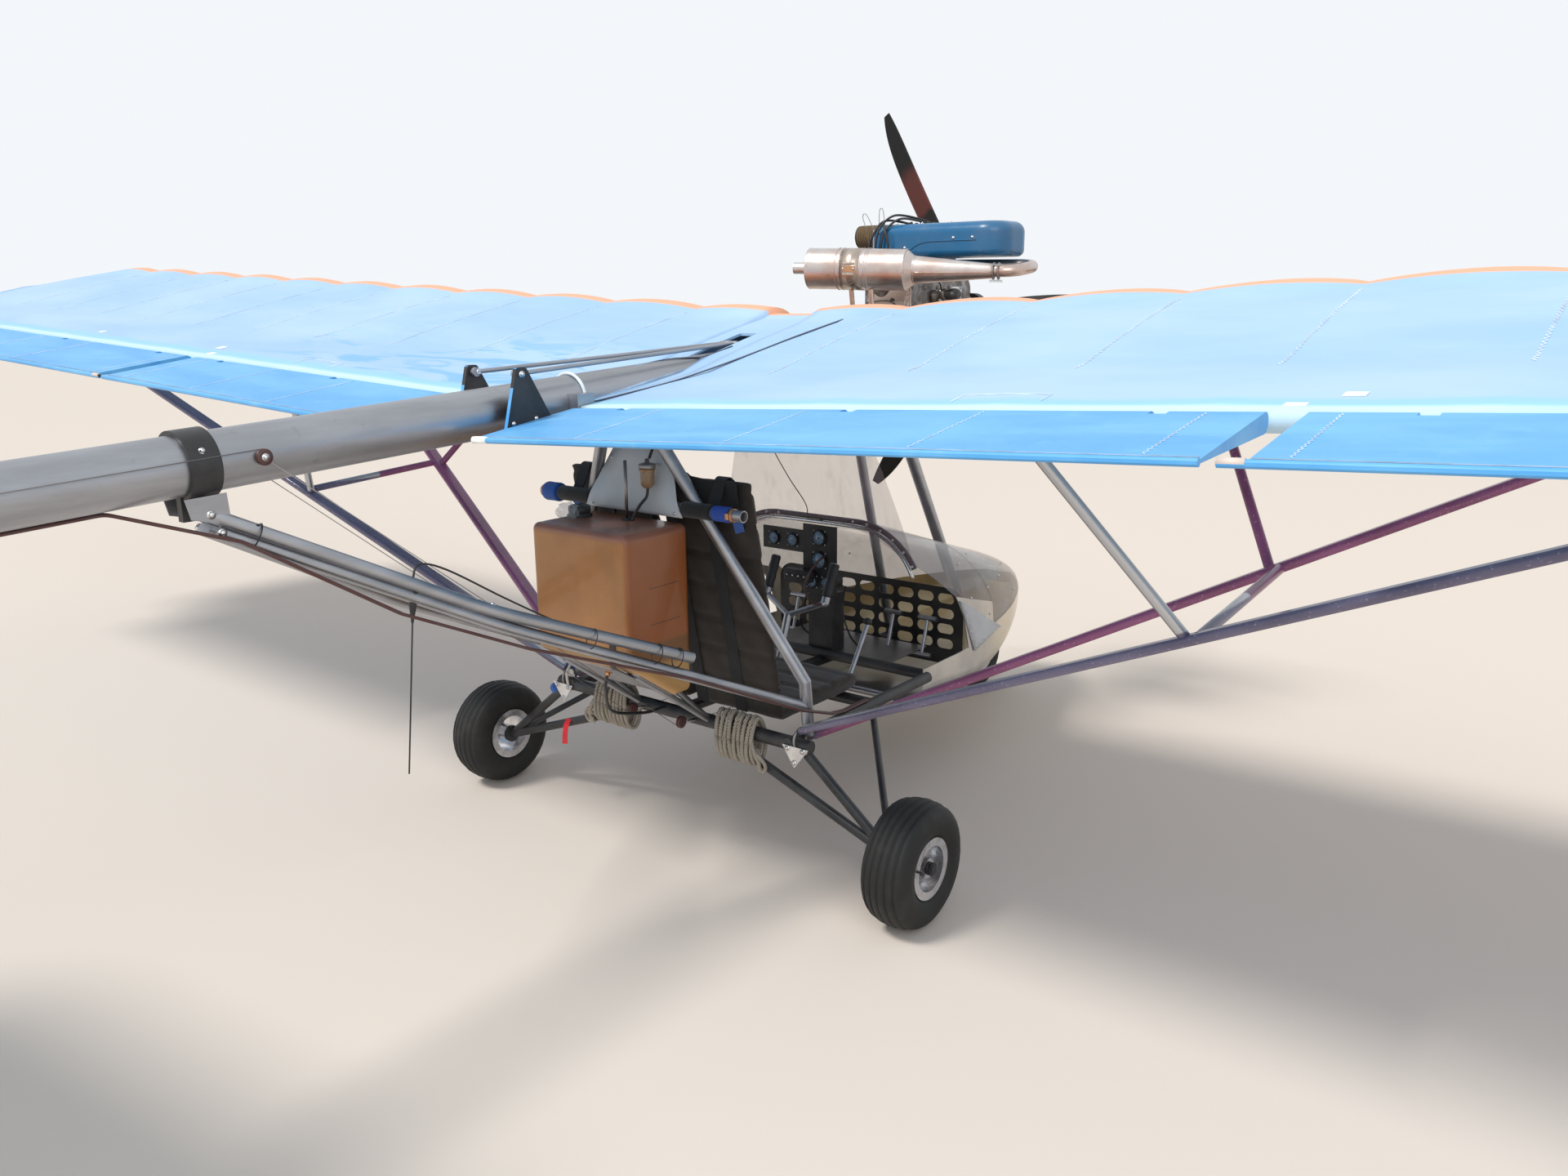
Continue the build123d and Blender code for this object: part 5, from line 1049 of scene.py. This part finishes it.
# Seats: quilted slings with channels across, and black webbing over them
PAN_LOW, PAN_TOP = 0.469, 0.523
SEAT_INNER, SEAT_WIDTH = 0.022, 0.348
SHOULDER_BELT = ((0.118, 1.166), (0.10, 1.195), (0.080, 1.236), (0.052, 1.235), (0.030, 1.18), (-0.03, 0.86),
                 (-0.075, 0.62), (-0.115, 0.533), (-0.16, 0.5275))


def seat_back_y(z, front):
    """Where the back's rear or front face stands at a height."""
    if front:
        return -0.092 + (z - PAN_TOP) * 0.1947
    return -0.078 + (z - PAN_LOW) * 0.1984


def seat_profile():
    """Side view of a seat: (behind the axle, height, outward, pinch of the nearest channel)."""
    step = 0.0125
    rear = [(seat_back_y(z, False), z) for z in [PAN_LOW + step * k for k in range(1, 60)]]
    front = [(seat_back_y(z, True), z) for z in [1.214 - step * k for k in range(55)]]
    top = [(-0.105 - step * k, PAN_TOP) for k in range(1, 30)]
    nose = [(-0.480, 0.5205), (-0.492, 0.512), (-0.4955, 0.503), (-0.492, 0.490), (-0.484, 0.478)]
    low = [(-0.470 + step * 2 * k, PAN_LOW) for k in range(1, 16)]
    loop = rear + [(0.0685, 1.2255), (0.058, 1.2295), (0.048, 1.2275)] + front + top + nose + low
    count = len(loop)
    rows = []
    for i, (y, z) in enumerate(loop):
        ahead, behind = loop[(i + 1) % count], loop[i - 1]
        way = Vector((ahead[0] - behind[0], ahead[1] - behind[1])).normalized()
        if z > PAN_TOP + 0.01:
            near = abs((z - 0.575 + 0.0525) % 0.105 - 0.0525)
        elif y > -0.45:
            near = abs((y + 0.150 + 0.05) % 0.10 - 0.05)
        else:
            near = 0.05
        rows.append((y, z, Vector((way.y, -way.x)), math.exp(-(near / 0.009) ** 2)))
    return rows


for side, name in SIDES:
    rows = seat_profile()
    sling = Piece(f"seat_{name}", "seat")
    across = [0.0, 0.004, 0.010, 0.018] + [0.03 + 0.288 * k / 16 for k in range(17)]
    across += [0.330, 0.338, 0.344, SEAT_WIDTH]
    verts = []
    for u in across:
        edge = min(u, SEAT_WIDTH - u)
        round_off = 0.009 * (1 - math.sqrt(max(0.0, 1 - (1 - min(edge, 0.018) / 0.018) ** 2)))
        sag = 0.5 - 0.5 * cos(2 * pi * u / SEAT_WIDTH)
        for y, z, out, pinch in rows:
            inset = round_off + 0.0008 * sin(60 * u + 40 * z)
            if z > PAN_LOW + 0.001:
                inset += 0.007 * pinch
            # The sling bellies rearward between its edges
            belly = -0.004 * (1 - sag) if z > 0.56 else 0.0
            wide = u + 0.003 * pinch * (1 if u < 0.01 else -1 if u > 0.338 else 0)
            verts.append((side * (SEAT_INNER + wide), y - out.x * inset + belly, z - out.y * inset))
    sling.take(verts, loft(len(across), len(rows)))
    thing = sling.done("airframe", "seat_cloth", ["seats"])

    straps = Piece(f"seat_webbing_{name}", "webbing", "steel")
    for x in (0.052, 0.215):
        straps.ribbon([(side * x, seat_back_y(z, False) + 0.0015, z) for z in
                       (0.475, 0.60, 0.75, 0.90, 1.05, 1.20, 1.222)], 0.044, 0.003)
    for x in (0.110, 0.280):
        straps.ribbon([(side * x, y, z) for y, z in SHOULDER_BELT], 0.042, 0.003)
    straps.ribbon(mirror(side, (0.030, -0.115, 0.528), (0.10, -0.15, 0.529), (0.196, -0.17, 0.533),
                         (0.29, -0.15, 0.529), (0.362, -0.115, 0.528)), 0.042, 0.003, BACK)
    straps.use("steel").block((side * 0.196, -0.172, 0.537), (0.050, 0.046, 0.009), bevel=0.003)
    straps.done("airframe", "seat_cloth")

# Instruments: dials with bezels, marks and needles, a console and a cable
PANEL_Y = -0.801
GAUGES = (
    # across, height, radius, needle angle in degrees
    (0.015, 0.884, 0.0285, 140), (0.015, 0.800, 0.0315, 215), (0.049, 0.716, 0.0245, 60),
    (-0.019, 0.716, 0.0245, 300), (0.226, 0.862, 0.0245, 250), (0.138, 0.862, 0.0245, 110),
)
dials = Piece("gauge_faces", "dial", "plastic", "needle", "bright")
for x, z, r, turn in GAUGES:
    dials.use("dial").rod((x, PANEL_Y - 0.0005, z), (x, PANEL_Y + 0.0012, z), r * 0.9, sides=32)
    dials.use("plastic").torus((x, PANEL_Y + 0.001, z), BACK, r * 0.94, 0.0026, around=32)
    for k in range(12):
        a = radians(30 * k)
        way = Vector((cos(a), 0, sin(a)))
        mark = at(x, PANEL_Y + 0.0017, z) + way * r * 0.72
        dials.use("needle").rod(mark, mark + way * r * 0.12, 0.0007 if k % 3 else 0.0011, sides=4)
    a = radians(turn)
    way = Vector((cos(a), 0, sin(a)))
    hub = at(x, PANEL_Y + 0.0024, z)
    dials.rod(hub - way * r * 0.15, hub + way * r * 0.66, 0.0013, 0.0004, sides=4)
    dials.use("plastic").rod(hub - Vector((0, 0.001, 0)), hub + Vector((0, 0.0012, 0)), r * 0.12, sides=12)
    for k in range(4):
        a = radians(45 + 90 * k)
        screw = at(x + r * 1.22 * cos(a), PANEL_Y - 0.0062, z + r * 1.22 * sin(a))
        dials.use("needle").rod(screw, screw + Vector((0, 0.0022, 0)), 0.0026, sides=10)
dials.use("plastic").block((0.092, -0.783, 0.7375), (0.116, 0.036, 0.045), bevel=0.004)
for x in (0.052, 0.078, 0.104, 0.130):
    dials.use("bright").rod((x, -0.766, 0.7375), (x, -0.757, 0.741), 0.003, sides=10)
dials.done("airframe", SLOT["instrument_panel"])

cockpit = Piece("cockpit_fittings", "bright", "black", "brown", "rubber", "plastic", "steel", "wrap")
arch = [(side * (0.175 + 0.26 * cos(radians(a))), 0.692 + 0.26 * sin(radians(a)))
        for side, angles in ((-1, (24, 40, 57, 74, 90)), (1, (90, 74, 57, 40, 24))) for a in angles]
cockpit.use("bright").pipe([(x, -0.765, z) for x, z in arch], 0.0065, 12, 5)
cockpit.use("black").block((0.007, -0.770, 0.966), (0.064, 0.012, 0.020), bevel=0.002)
cockpit.use("steel").block((0.007, -0.763, 0.966), (0.050, 0.002, 0.012), bevel=0.0008)
cockpit.use("rubber").pipe([(0.150, -0.715, 1.200), (0.095, -0.733, 1.105), (0.038, -0.750, 1.021),
                            (0.039, -0.768, 0.976)], 0.0018, 6)
cockpit.use("brown").pipe([(-0.023, -0.795, 0.825), (-0.027, -0.74, 0.812), (-0.035, -0.68, 0.785),
                           (-0.057, -0.62, 0.745), (-0.100, -0.60, 0.700), (-0.128, -0.628, 0.694)], 0.004)
for x in (0.06, 0.10, -0.06):
    cockpit.use("rubber").pipe([(x, -0.87, 0.70), (x * 1.1, -0.84, 0.62), (x * 1.4, -0.86, 0.52),
                                (x * 1.2, -0.95, 0.44)], 0.0035, 8)
# Stick grips with finger rings, and the lever's knob
for side in (1, -1):
    foot, head = at(side * 0.131, -0.64, 0.694), at(side * 0.131, -0.70, 0.824)
    way = (head - foot).normalized()
    cockpit.use("plastic").turned(foot + way * 0.020, way, [
        (0.0, 0.0145), (0.004, 0.0185), (0.020, 0.0165), (0.040, 0.0185), (0.060, 0.0165), (0.080, 0.0185),
        (0.100, 0.0170), (0.118, 0.0180), (0.1235, 0.0130), (0.125, 0.004)], 20)
    cockpit.use("bright").bolt((side * 0.131, -0.625, 0.694), BACK, 0.006, 0.004)
cockpit.use("plastic").turned((-0.300, -0.6535, 0.639), (0, -0.3, 0.9), [
    (0.0, 0.006), (0.004, 0.013), (0.012, 0.016), (0.021, 0.013), (0.025, 0.004)], 20)
# Floor board with a blue cloth on it
cockpit.use("steel").block((0.0, -0.96, 0.452), (0.56, 0.26, 0.003))
cockpit.use("wrap").ribbon([(-0.335, -0.40, 0.500), (-0.31, -0.41, 0.520), (-0.29, -0.43, 0.503),
                            (-0.26, -0.46, 0.500)], 0.05, 0.004, (0.4, 1, 0))
cockpit.done("airframe", "black_plastic")

# Riveted side plates of the pod, and screws along the rim of the screen and on the cowl
pod_tree = solid_tree("pod", "cowl_window", "nose_bubble")
for side, name in SIDES:
    plate = Piece(f"pod_side_plate_{name}", "panel", "bright")
    corners = (Vector((-1.39, 0.490)), Vector((-1.02, 0.672)), Vector((-1.15, 0.450)))
    steps = 6
    grid = [(i, j) for i in range(steps + 1) for j in range(steps + 1)]

    def plate_yz(a, b):
        """Where a share along the front edge and across falls, seen from the side."""
        return corners[0] * (1 - a) + corners[1] * (a * (1 - b)) + corners[2] * (a * b)

    met = {}
    for i, j in grid:
        found = land(pod_tree, at(side * 0.8, *plate_yz(i / steps, j / steps)), (-side, 0, 0))
        if found and side * found[0].x > 0.2:
            met[i, j] = side * found[0].x
    # Past the shell's edge the nearest reading stands in
    outer = {key: met[min(met, key=lambda k: (k[0] - key[0]) ** 2 + (k[1] - key[1]) ** 2)] for key in grid}
    # A fair sheet that stays outside the shell
    fair = dict(outer)
    for _ in range(12):
        fair = {(i, j): sum(fair[min(max(i + di, 0), steps), min(max(j + dj, 0), steps)]
                            for di, dj in ((0, 0), (1, 0), (-1, 0), (0, 1), (0, -1))) / 5 for i, j in grid}
    clear = max(outer[key] - fair[key] for key in grid) + 0.0008

    def plate_spot(a, b, lift):
        """A point of the plate."""
        i, j = min(int(a * steps), steps - 1), min(int(b * steps), steps - 1)
        s, t = a * steps - i, b * steps - j
        x = (fair[i, j] * (1 - s) * (1 - t) + fair[i + 1, j] * s * (1 - t) + fair[i, j + 1] * (1 - s) * t
             + fair[i + 1, j + 1] * s * t)
        return at(side * (x + clear + lift), *plate_yz(a, b))

    n = steps + 1
    faces = []
    for base in (0, n * n):
        for i in range(1, steps):
            faces += [[base + i * n + j, base + i * n + j + 1,
                       base + (i + 1) * n + j + 1, base + (i + 1) * n + j]
                      for j in range(steps)]
        faces += [[base, base + n + j, base + n + j + 1] for j in range(steps)]
    rim_walk = [i * n for i in range(n)] + [steps * n + j for j in range(1, n)]
    rim_walk += [i * n + steps for i in range(steps - 1, 0, -1)]
    faces += [[a, b, n * n + b, n * n + a] for a, b in zip(rim_walk, rim_walk[1:] + rim_walk[:1])]
    plate.take([plate_spot(i / steps, j / steps, lift) for lift in (0.0, 0.0016) for i, j in grid], faces)
    for t in (0.12, 0.28, 0.44, 0.60, 0.76, 0.92):
        for a, b in ((t, 0.07), (0.94, t), (t, 0.93)):
            spot = plate_spot(a, b, 0.0010)
            plate.use("bright").rod(spot, spot + Vector((side * 0.0026, 0, 0)), 0.0040, 0.0028, sides=10)
    plate.done("airframe", "bare_alloy")

screws = Piece("screen_screws", "bright")
for side in (1, -1):
    for a in (32, 44, 56, 68, 80, 92):
        turn = radians(a)
        screws.bolt((side * (0.175 + 0.279 * cos(turn)), -0.7595, 0.692 + 0.279 * sin(turn)),
                    BACK, 0.0035, 0.0025)
for y in (-0.84, -1.12, -1.30, -1.50, -1.70):
    for side in (1, -1):
        for height in (0.56, 0.66, 0.78):
            found = land(pod_tree, (side * 0.8, y, height), (-side, 0, 0), 0.0004)
            if found and (y > -1.6 or height < 0.7):
                screws.bolt(*found, 0.0035, 0.002)
screws.done("airframe", "bare_alloy")

# Silencer: bands, sleeve, riveted plate, seams and springs
CAN_A, CAN_B, CONE_END = at(0.200, -1.010, 1.842), at(-0.150, -1.115, 1.832), at(-0.450, -1.205, 1.824)
CAN_RADIUS = 0.073
can_axis = (CAN_B - CAN_A).normalized()
can_rear = Vector(UP).cross(can_axis).normalized()
can_up = can_axis.cross(can_rear)
can_rear = can_rear if can_rear.y > 0 else -can_rear
can_turn = Matrix((can_axis, can_rear, can_up)).transposed()
exhaust = Piece("silencer_fittings", "silencer", "sleeve", "bright", "copper", "steel")
exhaust.use("sleeve").turned(CAN_A.lerp(CAN_B, 0.36), can_axis, collar(0.070, 0.0745, 0.073), 48)
for share in (0.31, 0.355, 0.565, 0.605, 0.63):
    exhaust.use("silencer").torus(CAN_A.lerp(CAN_B, share), can_axis, CAN_RADIUS + 0.0002, 0.0024, around=48)
for center in (CAN_A, CAN_B):
    exhaust.torus(center, can_axis, 0.0705, 0.0035, around=48)
spot = CAN_A.lerp(CAN_B, 0.46) + can_rear * 0.0752
exhaust.use("copper").block(spot, (0.050, 0.004, 0.020), can_turn, 0.001)
exhaust.use("sleeve").block(spot + can_up * 0.019, (0.046, 0.005, 0.007), can_turn, 0.002)
exhaust.block(spot - can_up * 0.019, (0.046, 0.005, 0.007), can_turn, 0.002)
exhaust.use("bright").bolts([spot + can_axis * dx + can_rear * 0.002 for dx in (-0.019, 0.019)],
                            can_rear, 0.003, 0.003)
cone_axis = (CONE_END - CAN_B).normalized()
shoulder_at = CAN_B.lerp(CONE_END, 0.10)
low = (can_rear - can_up * 0.18).normalized()
exhaust.use("silencer").pipe([shoulder_at.lerp(CONE_END, t) + low * (0.0502 - 0.0250 * t)
                              for t in (0.0, 0.5, 0.98)], 0.0016, 6)
exhaust.torus(shoulder_at, cone_axis, 0.0495, 0.0022, around=40)
for along in (0.0, 0.018):
    exhaust.use("steel").torus(CONE_END + cone_axis * along, cone_axis, 0.0265, 0.0035)
for k in range(3):
    a = 2 * pi * k / 3 + 0.6
    aside = can_rear * cos(a) + can_up * sin(a)
    spring = [CONE_END - cone_axis * 0.012 + cone_axis * 0.045 * i / 60 + aside * 0.034
              + (aside * cos(2 * pi * i / 6) + aside.cross(cone_axis) * sin(2 * pi * i / 6)) * 0.0042
              for i in range(61)]
    exhaust.use("bright").pipe(spring, 0.0009, 5, 1)
exhaust.done("airframe", "worn_steel")

# Engine: scoop crease and screws, leads and hoops
top = Piece("engine_fittings", "blue", "bright", "rubber", "steel", "filter", "white", "black", "cast", "pale")
top.use("blue").pipe([(-0.045, -1.2865, 1.902), (-0.080, -1.2860, 1.922), (-0.120, -1.2858, 1.934),
                      (-0.200, -1.2858, 1.936), (-0.330, -1.2860, 1.936)], 0.0022, 6)
top.use("bright").bolts([(x, -1.2868, z) for x, z in (
    (-0.237, 1.945), (-0.030, 1.915), (-0.315, 1.945), (0.085, 1.975), (0.085, 1.905))], BACK, 0.004, 0.003)
top.bolts([(x, y, 2.0022) for x in (-0.20, -0.08, 0.03) for y in (-1.33, -1.49)], UP, 0.004, 0.003)
LEADS = (
    ((0.075, -1.283, 1.86), (0.066, -1.275, 1.93), (0.050, -1.285, 1.985), (0.010, -1.320, 2.022),
     (-0.045, -1.365, 2.014), (-0.07, -1.39, 2.003)),
    ((0.095, -1.283, 1.86), (0.088, -1.272, 1.94), (0.070, -1.282, 1.998), (0.025, -1.310, 2.035),
     (-0.030, -1.40, 2.022), (-0.06, -1.45, 2.003)),
    ((0.055, -1.283, 1.86), (0.030, -1.268, 1.92), (0.045, -1.270, 1.975), (0.070, -1.300, 2.014),
     (0.040, -1.350, 2.016), (0.0, -1.38, 2.003)),
    ((0.110, -1.290, 1.84), (0.125, -1.280, 1.91), (0.104, -1.290, 1.98), (0.085, -1.33, 2.018),
     (0.05, -1.40, 2.014), (0.02, -1.45, 2.003)),
)
for line in LEADS:
    x, y, z = line[-1]
    top.use("rubber").pipe(line, 0.0042, 8).rod((x, y, z - 0.002), (x, y, z + 0.010), 0.0075, 0.0055, 12)
HOOPS = (
    ((0.165, -1.35, 1.91), (0.175, -1.335, 1.99), (0.188, -1.33, 2.038), (0.172, -1.33, 2.045),
     (0.150, -1.34, 2.0), (0.131, -1.35, 1.95), (0.125, -1.36, 1.90)),
    ((0.101, -1.33, 1.87), (0.1, -1.315, 1.95), (0.099, -1.31, 2.045), (0.090, -1.31, 2.063),
     (0.080, -1.31, 2.045), (0.070, -1.315, 1.95), (0.068, -1.33, 1.87)),
)
for line in HOOPS:
    top.use("steel").pipe(line, 0.0014, 6)
# Air filter with its end caps, and clamps on the pipes
top.use("pale").block((0.132, -1.36, 1.945), (0.022, 0.060, 0.085), bevel=0.006)
for k in range(13):
    top.use("filter").torus((0.135 + 0.0085 * k, -1.412, 1.965), ACROSS, 0.0415, 0.0028, 30, 6)
for x in (0.124, 0.245):
    top.use("rubber").turned((x, -1.412, 1.965), ACROSS, [
        (0.0, 0.030), (0.0, 0.0405), (0.002, 0.0435), (0.006, 0.0435), (0.008, 0.040), (0.008, 0.030)])
top.use("bright").torus((0.186, -1.412, 1.80), UP, 0.0205, 0.002)
top.torus((0.110, -1.412, 1.785), ACROSS, 0.0265, 0.002)
# Crankcase: studs, end plate, side plate with its port
for side in (1, -1):
    for z, r, tall in ((1.770, 0.006, 0.005), (1.718, 0.005, 0.004)):
        top.use("steel").bolts([(side * 0.095, y, z) for y in (-1.24, -1.33, -1.42, -1.51, -1.59)],
                               (side, 0, 0), r, tall)
top.bolts([(x, -1.212, z) for x in (-0.08, 0.08) for z in (1.72, 1.82)], BACK, 0.006, 0.005)
top.use("white").block((-0.030, -1.2098, 1.735), (0.160, 0.0065, 0.070), bevel=0.001)
top.use("bright").block((-0.0975, -1.556, 1.738), (0.006, 0.092, 0.072), bevel=0.002)
# A thin black block is painted shade in the side plate's port
top.use("black").block((-0.1008, -1.560, 1.742), (0.0012, 0.040, 0.020), bevel=0.0005)
top.use("bright").bolts([(-0.1005, y, z) for y in (-1.518, -1.594) for z in (1.709, 1.768)],
                        (-1, 0, 0), 0.0045, 0.003)
# Carburettor and its hoses on the starboard side
top.use("cast").turned((-0.094, -1.395, 1.735), (-1, 0, 0.15), [
    (0.0, 0.020), (0.0, 0.026), (0.014, 0.026), (0.018, 0.018), (0.040, 0.020), (0.044, 0.024), (0.058, 0.024),
    (0.060, 0.016)])
top.use("bright").turned((-0.130, -1.395, 1.700), UP, [
    (0.0, 0.012), (0.004, 0.017), (0.026, 0.017), (0.034, 0.012), (0.060, 0.013), (0.064, 0.008)], 20)
for r, sides, line in (
        (0.019, 14, ((-0.150, -1.395, 1.742), (-0.185, -1.392, 1.748), (-0.215, -1.36, 1.745),
                     (-0.222, -1.315, 1.735))),
        (0.0028, 10, ((-0.130, -1.395, 1.762), (-0.135, -1.36, 1.79), (-0.10, -1.28, 1.80),
                      (-0.06, -1.21, 1.795))),
        (0.0036, 10, ((-0.118, -1.41, 1.712), (-0.13, -1.47, 1.685), (-0.11, -1.50, 1.665),
                      (-0.096, -1.52, 1.690)))):
    top.use("rubber").pipe(line, r, sides)
# Rear end: starter boss, black discs as painted shade in the bores, and bolts of the plates
top.use("black").turned((-0.031, -1.2066, 1.724), BACK, [(0.0, 0.010), (0.001, 0.010)], 20)
top.use("cast").turned((0.02, -1.2105, 1.780), BACK, [
    (0.0, 0.042), (0.004, 0.042), (0.008, 0.036), (0.009, 0.012), (0.014, 0.011)])
top.use("black").rod((-0.020, -1.1938, 1.700), (-0.020, -1.1932, 1.700), 0.0075, sides=20)
top.use("bright").bolts([(x, -1.194, z) for x in (-0.100, 0.060) for z in (1.640, 1.712)], BACK, 0.0035, 0.003)
# Coiled white wire and loose leads over the pale panel
coil = [(-0.098 - 0.022 * k / 40, -1.186 + 0.010 * cos(2 * pi * k / 8),
         1.700 + 0.0022 * k + 0.012 * sin(2 * pi * k / 8)) for k in range(41)]
top.use("white").pipe(coil, 0.0018, 6, 1)
top.pipe([coil[-1], (-0.110, -1.19, 1.80), (-0.075, -1.205, 1.815)], 0.0018, 6)
top.pipe([coil[0], (-0.07, -1.188, 1.690), (-0.035, -1.188, 1.672), (0.0, -1.188, 1.665)], 0.0018, 6)
top.use("rubber").pipe([(-0.075, -1.188, 1.700), (-0.03, -1.186, 1.722), (0.035, -1.186, 1.720),
                        (0.060, -1.188, 1.69), (0.066, -1.19, 1.64)], 0.0018, 6)
# White cable ties round the box ahead of the wing, bolts of the mount and the gearbox
for y in (-0.885, -0.94, -0.995):
    top.use("white").block((0, y, 1.6725), (0.1185, 0.010, 0.0014))
    for side in (1, -1):
        top.block((side * 0.0588, y, 1.640), (0.0014, 0.010, 0.066))
for side in (1, -1):
    top.use("bright").bolts([(side * 0.0802, y, 1.66) for y in (-1.227, -1.273, -1.432, -1.478)],
                            (side, 0, 0), 0.006, 0.005)
top.bolts([(0.072 * c, -1.7002, 1.760 + 0.072 * s) for c, s in circle(8)], AHEAD, 0.005, 0.004)
top.done("airframe", "cast_alloy")

hub = Piece("propeller_bolts", "bright", "steel")
pos = Vector(PROP_HUB)
for k in range(6):
    a = 2 * pi * k / 6 + 0.26
    hub.bolt((pos.x + 0.049 * cos(a), -1.8902, pos.z + 0.049 * sin(a)), AHEAD, 0.006, 0.006)
hub.use("steel").torus((pos.x, -1.911, pos.z), BACK, 0.030, 0.003)
hub.done("propeller", "worn_steel")

# Bungees: turns of braided cord over the cross tube, with a knot and a loose loop
rng = random.Random(11)
for side, name in SIDES:
    cord = Piece(f"bungee_turns_{name}", "bungee")
    for k in range(9):
        x = side * (0.200 + 0.0175 * k)
        high, wide = 0.076 + rng.uniform(-0.003, 0.002), 0.035 + rng.uniform(-0.002, 0.001)
        lean = rng.uniform(-0.006, 0.006)
        cord.pipe([(x + lean * sin(a), wide * cos(a) * (1.0 - 0.15 * sin(a)), 0.424 + high * sin(a))
                   for a in [2 * pi * t / 26 for t in range(27)]], 0.0068, 8, 1)
    cord.pipe(mirror(side, (0.342, 0.034, 0.43), (0.358, 0.040, 0.40), (0.362, 0.030, 0.375),
                     (0.352, 0.010, 0.385), (0.348, 0.020, 0.405), (0.364, 0.036, 0.39),
                     (0.368, 0.030, 0.355), (0.358, 0.020, 0.340)), 0.0062, 8)
    cord.pipe(mirror(side, (0.352, 0.034, 0.40), (0.382, 0.036, 0.385), (0.392, 0.030, 0.360),
                     (0.376, 0.026, 0.342), (0.358, 0.030, 0.36)), 0.0055, 8)
    cord.done("airframe", "bungee_cloth", ["bungees"])

# Landing gear: gussets, shackles, bolts, wraps and a ribbon
gear = Piece("gear_fittings", "bright", "steel", "wrap", "white", "ribbon")
for side in (1, -1):
    gear.use("bright").prism([[(side * x, y, z) for x, z in ((0.455, 0.452), (0.552, 0.452), (0.500, 0.385))]
                              for y in (0.0265, 0.0295)])
    gear.bolts(mirror(side, (0.475, 0.030, 0.444), (0.532, 0.030, 0.444), (0.500, 0.030, 0.402)),
               BACK, 0.006, 0.005)
    gear.bolts(mirror(side, (0.532, 0.018, 0.439), (0.360, 0.018, 0.369)), BACK, 0.006, 0.006)
    gear.use("steel").torus((side * 0.500, 0.0, 0.470), ACROSS, 0.030, 0.004, 24)
gear.use("wrap").turned((0.500, -0.030, 0.500), (0, 0.12, 1), [
    (0.0, 0.019), (0.003, 0.025), (0.020, 0.027), (0.040, 0.024), (0.056, 0.026), (0.060, 0.019)])
gear.turned((0.552, 0.0, 0.4275), (0.83, 0, -0.55), [
    (0.0, 0.014), (0.003, 0.020), (0.030, 0.021), (0.034, 0.014)])
gear.use("white").ribbon([(0.492, 0.002, 0.515), (0.488, 0.022, 0.49), (0.480, 0.026, 0.455),
                          (0.470, 0.022, 0.43)], 0.010, 0.004)
gear.use("ribbon").ribbon([(0.500, 0.012, 0.318), (0.500, 0.026, 0.300), (0.503, 0.032, 0.268),
                           (0.497, 0.040, 0.235)], 0.024, 0.0015)
gear.done("airframe", "black_metal")


# Grooved tyres, wheel bolts and valves
def tyre(name, body, center, radius, half, bead, sides):
    """A grooved tyre as a closed ring."""
    tread = half * 0.62
    loop = [(-half * 0.76, bead), (-half * 0.93, bead + 0.012), (-half, bead + 0.34 * (radius - bead)),
            (-half * 0.96, bead + 0.62 * (radius - bead)), (-half * 0.80, radius - 0.016)]
    for k in range(5):
        x = tread * (k - 2) / 2
        edge = radius - 0.009 * (x / tread) ** 2
        loop += [(x - 0.0034, edge), (x - 0.0016, edge - 0.0042),
                 (x + 0.0016, edge - 0.0042), (x + 0.0034, edge)]
    loop += [(-x, r) for x, r in loop[4::-1]]
    node = name.replace("_tread", "")
    Piece(name, "tyre").ring(center, ACROSS, loop, sides).done(body, SLOT[node], [node])


for side, name in SIDES:
    center = Vector((side * TRACK_X, AXLE_Y, WHEEL_Z))
    tyre(f"tyre_{name}_tread", f"wheel_{name}", center, TYRE_HIGH.z - WHEEL_Z, 0.075, 0.089, 34)
    rim_tree = solid_tree(f"rim_{name}")
    studs = Piece(f"wheel_bolts_{name}", "bright", "rubber")
    for face in (side, -side):
        for k in range(6):
            a = 2 * pi * k / 6 + 0.3
            found = land(rim_tree, center + Vector((face * 0.3, 0.030 * cos(a), 0.030 * sin(a))), (-face, 0, 0))
            if found:
                studs.bolt(found[0], (face, 0, 0), 0.0045, 0.004)
    found = land(rim_tree, center + Vector((side * 0.3, 0.070, 0.020)), (-side, 0, 0))
    if found:
        foot = found[0]
        studs.use("rubber").rod(foot - Vector((side * 0.004, 0, 0)), foot + Vector((side * 0.022, 0.006, 0)),
                                0.004, 0.003, sides=10)
    studs.done(f"wheel_{name}", SLOT[f"rim_{name}"])
nose_low, nose_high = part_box("nose_tyre")
tyre("nose_tyre_tread", "nose_wheel", (nose_low + nose_high) / 2, (nose_high.z - nose_low.z) / 2,
     0.052, 0.083, 28)

# A cloth flap over the top of the starboard seat
flap = Piece("headrest_flap", "webbing")
outline = [(-0.150, 1.108), (-0.335, 1.108), (-0.338, 1.225), (-0.322, 1.236), (-0.240, 1.231), (-0.160, 1.238)]
flap.prism([[(x, 0.079 + d + (z - 1.225) * 0.16, z) for x, z in outline] for d in (0.0, 0.005)])
flap.done("airframe", "seat_cloth")
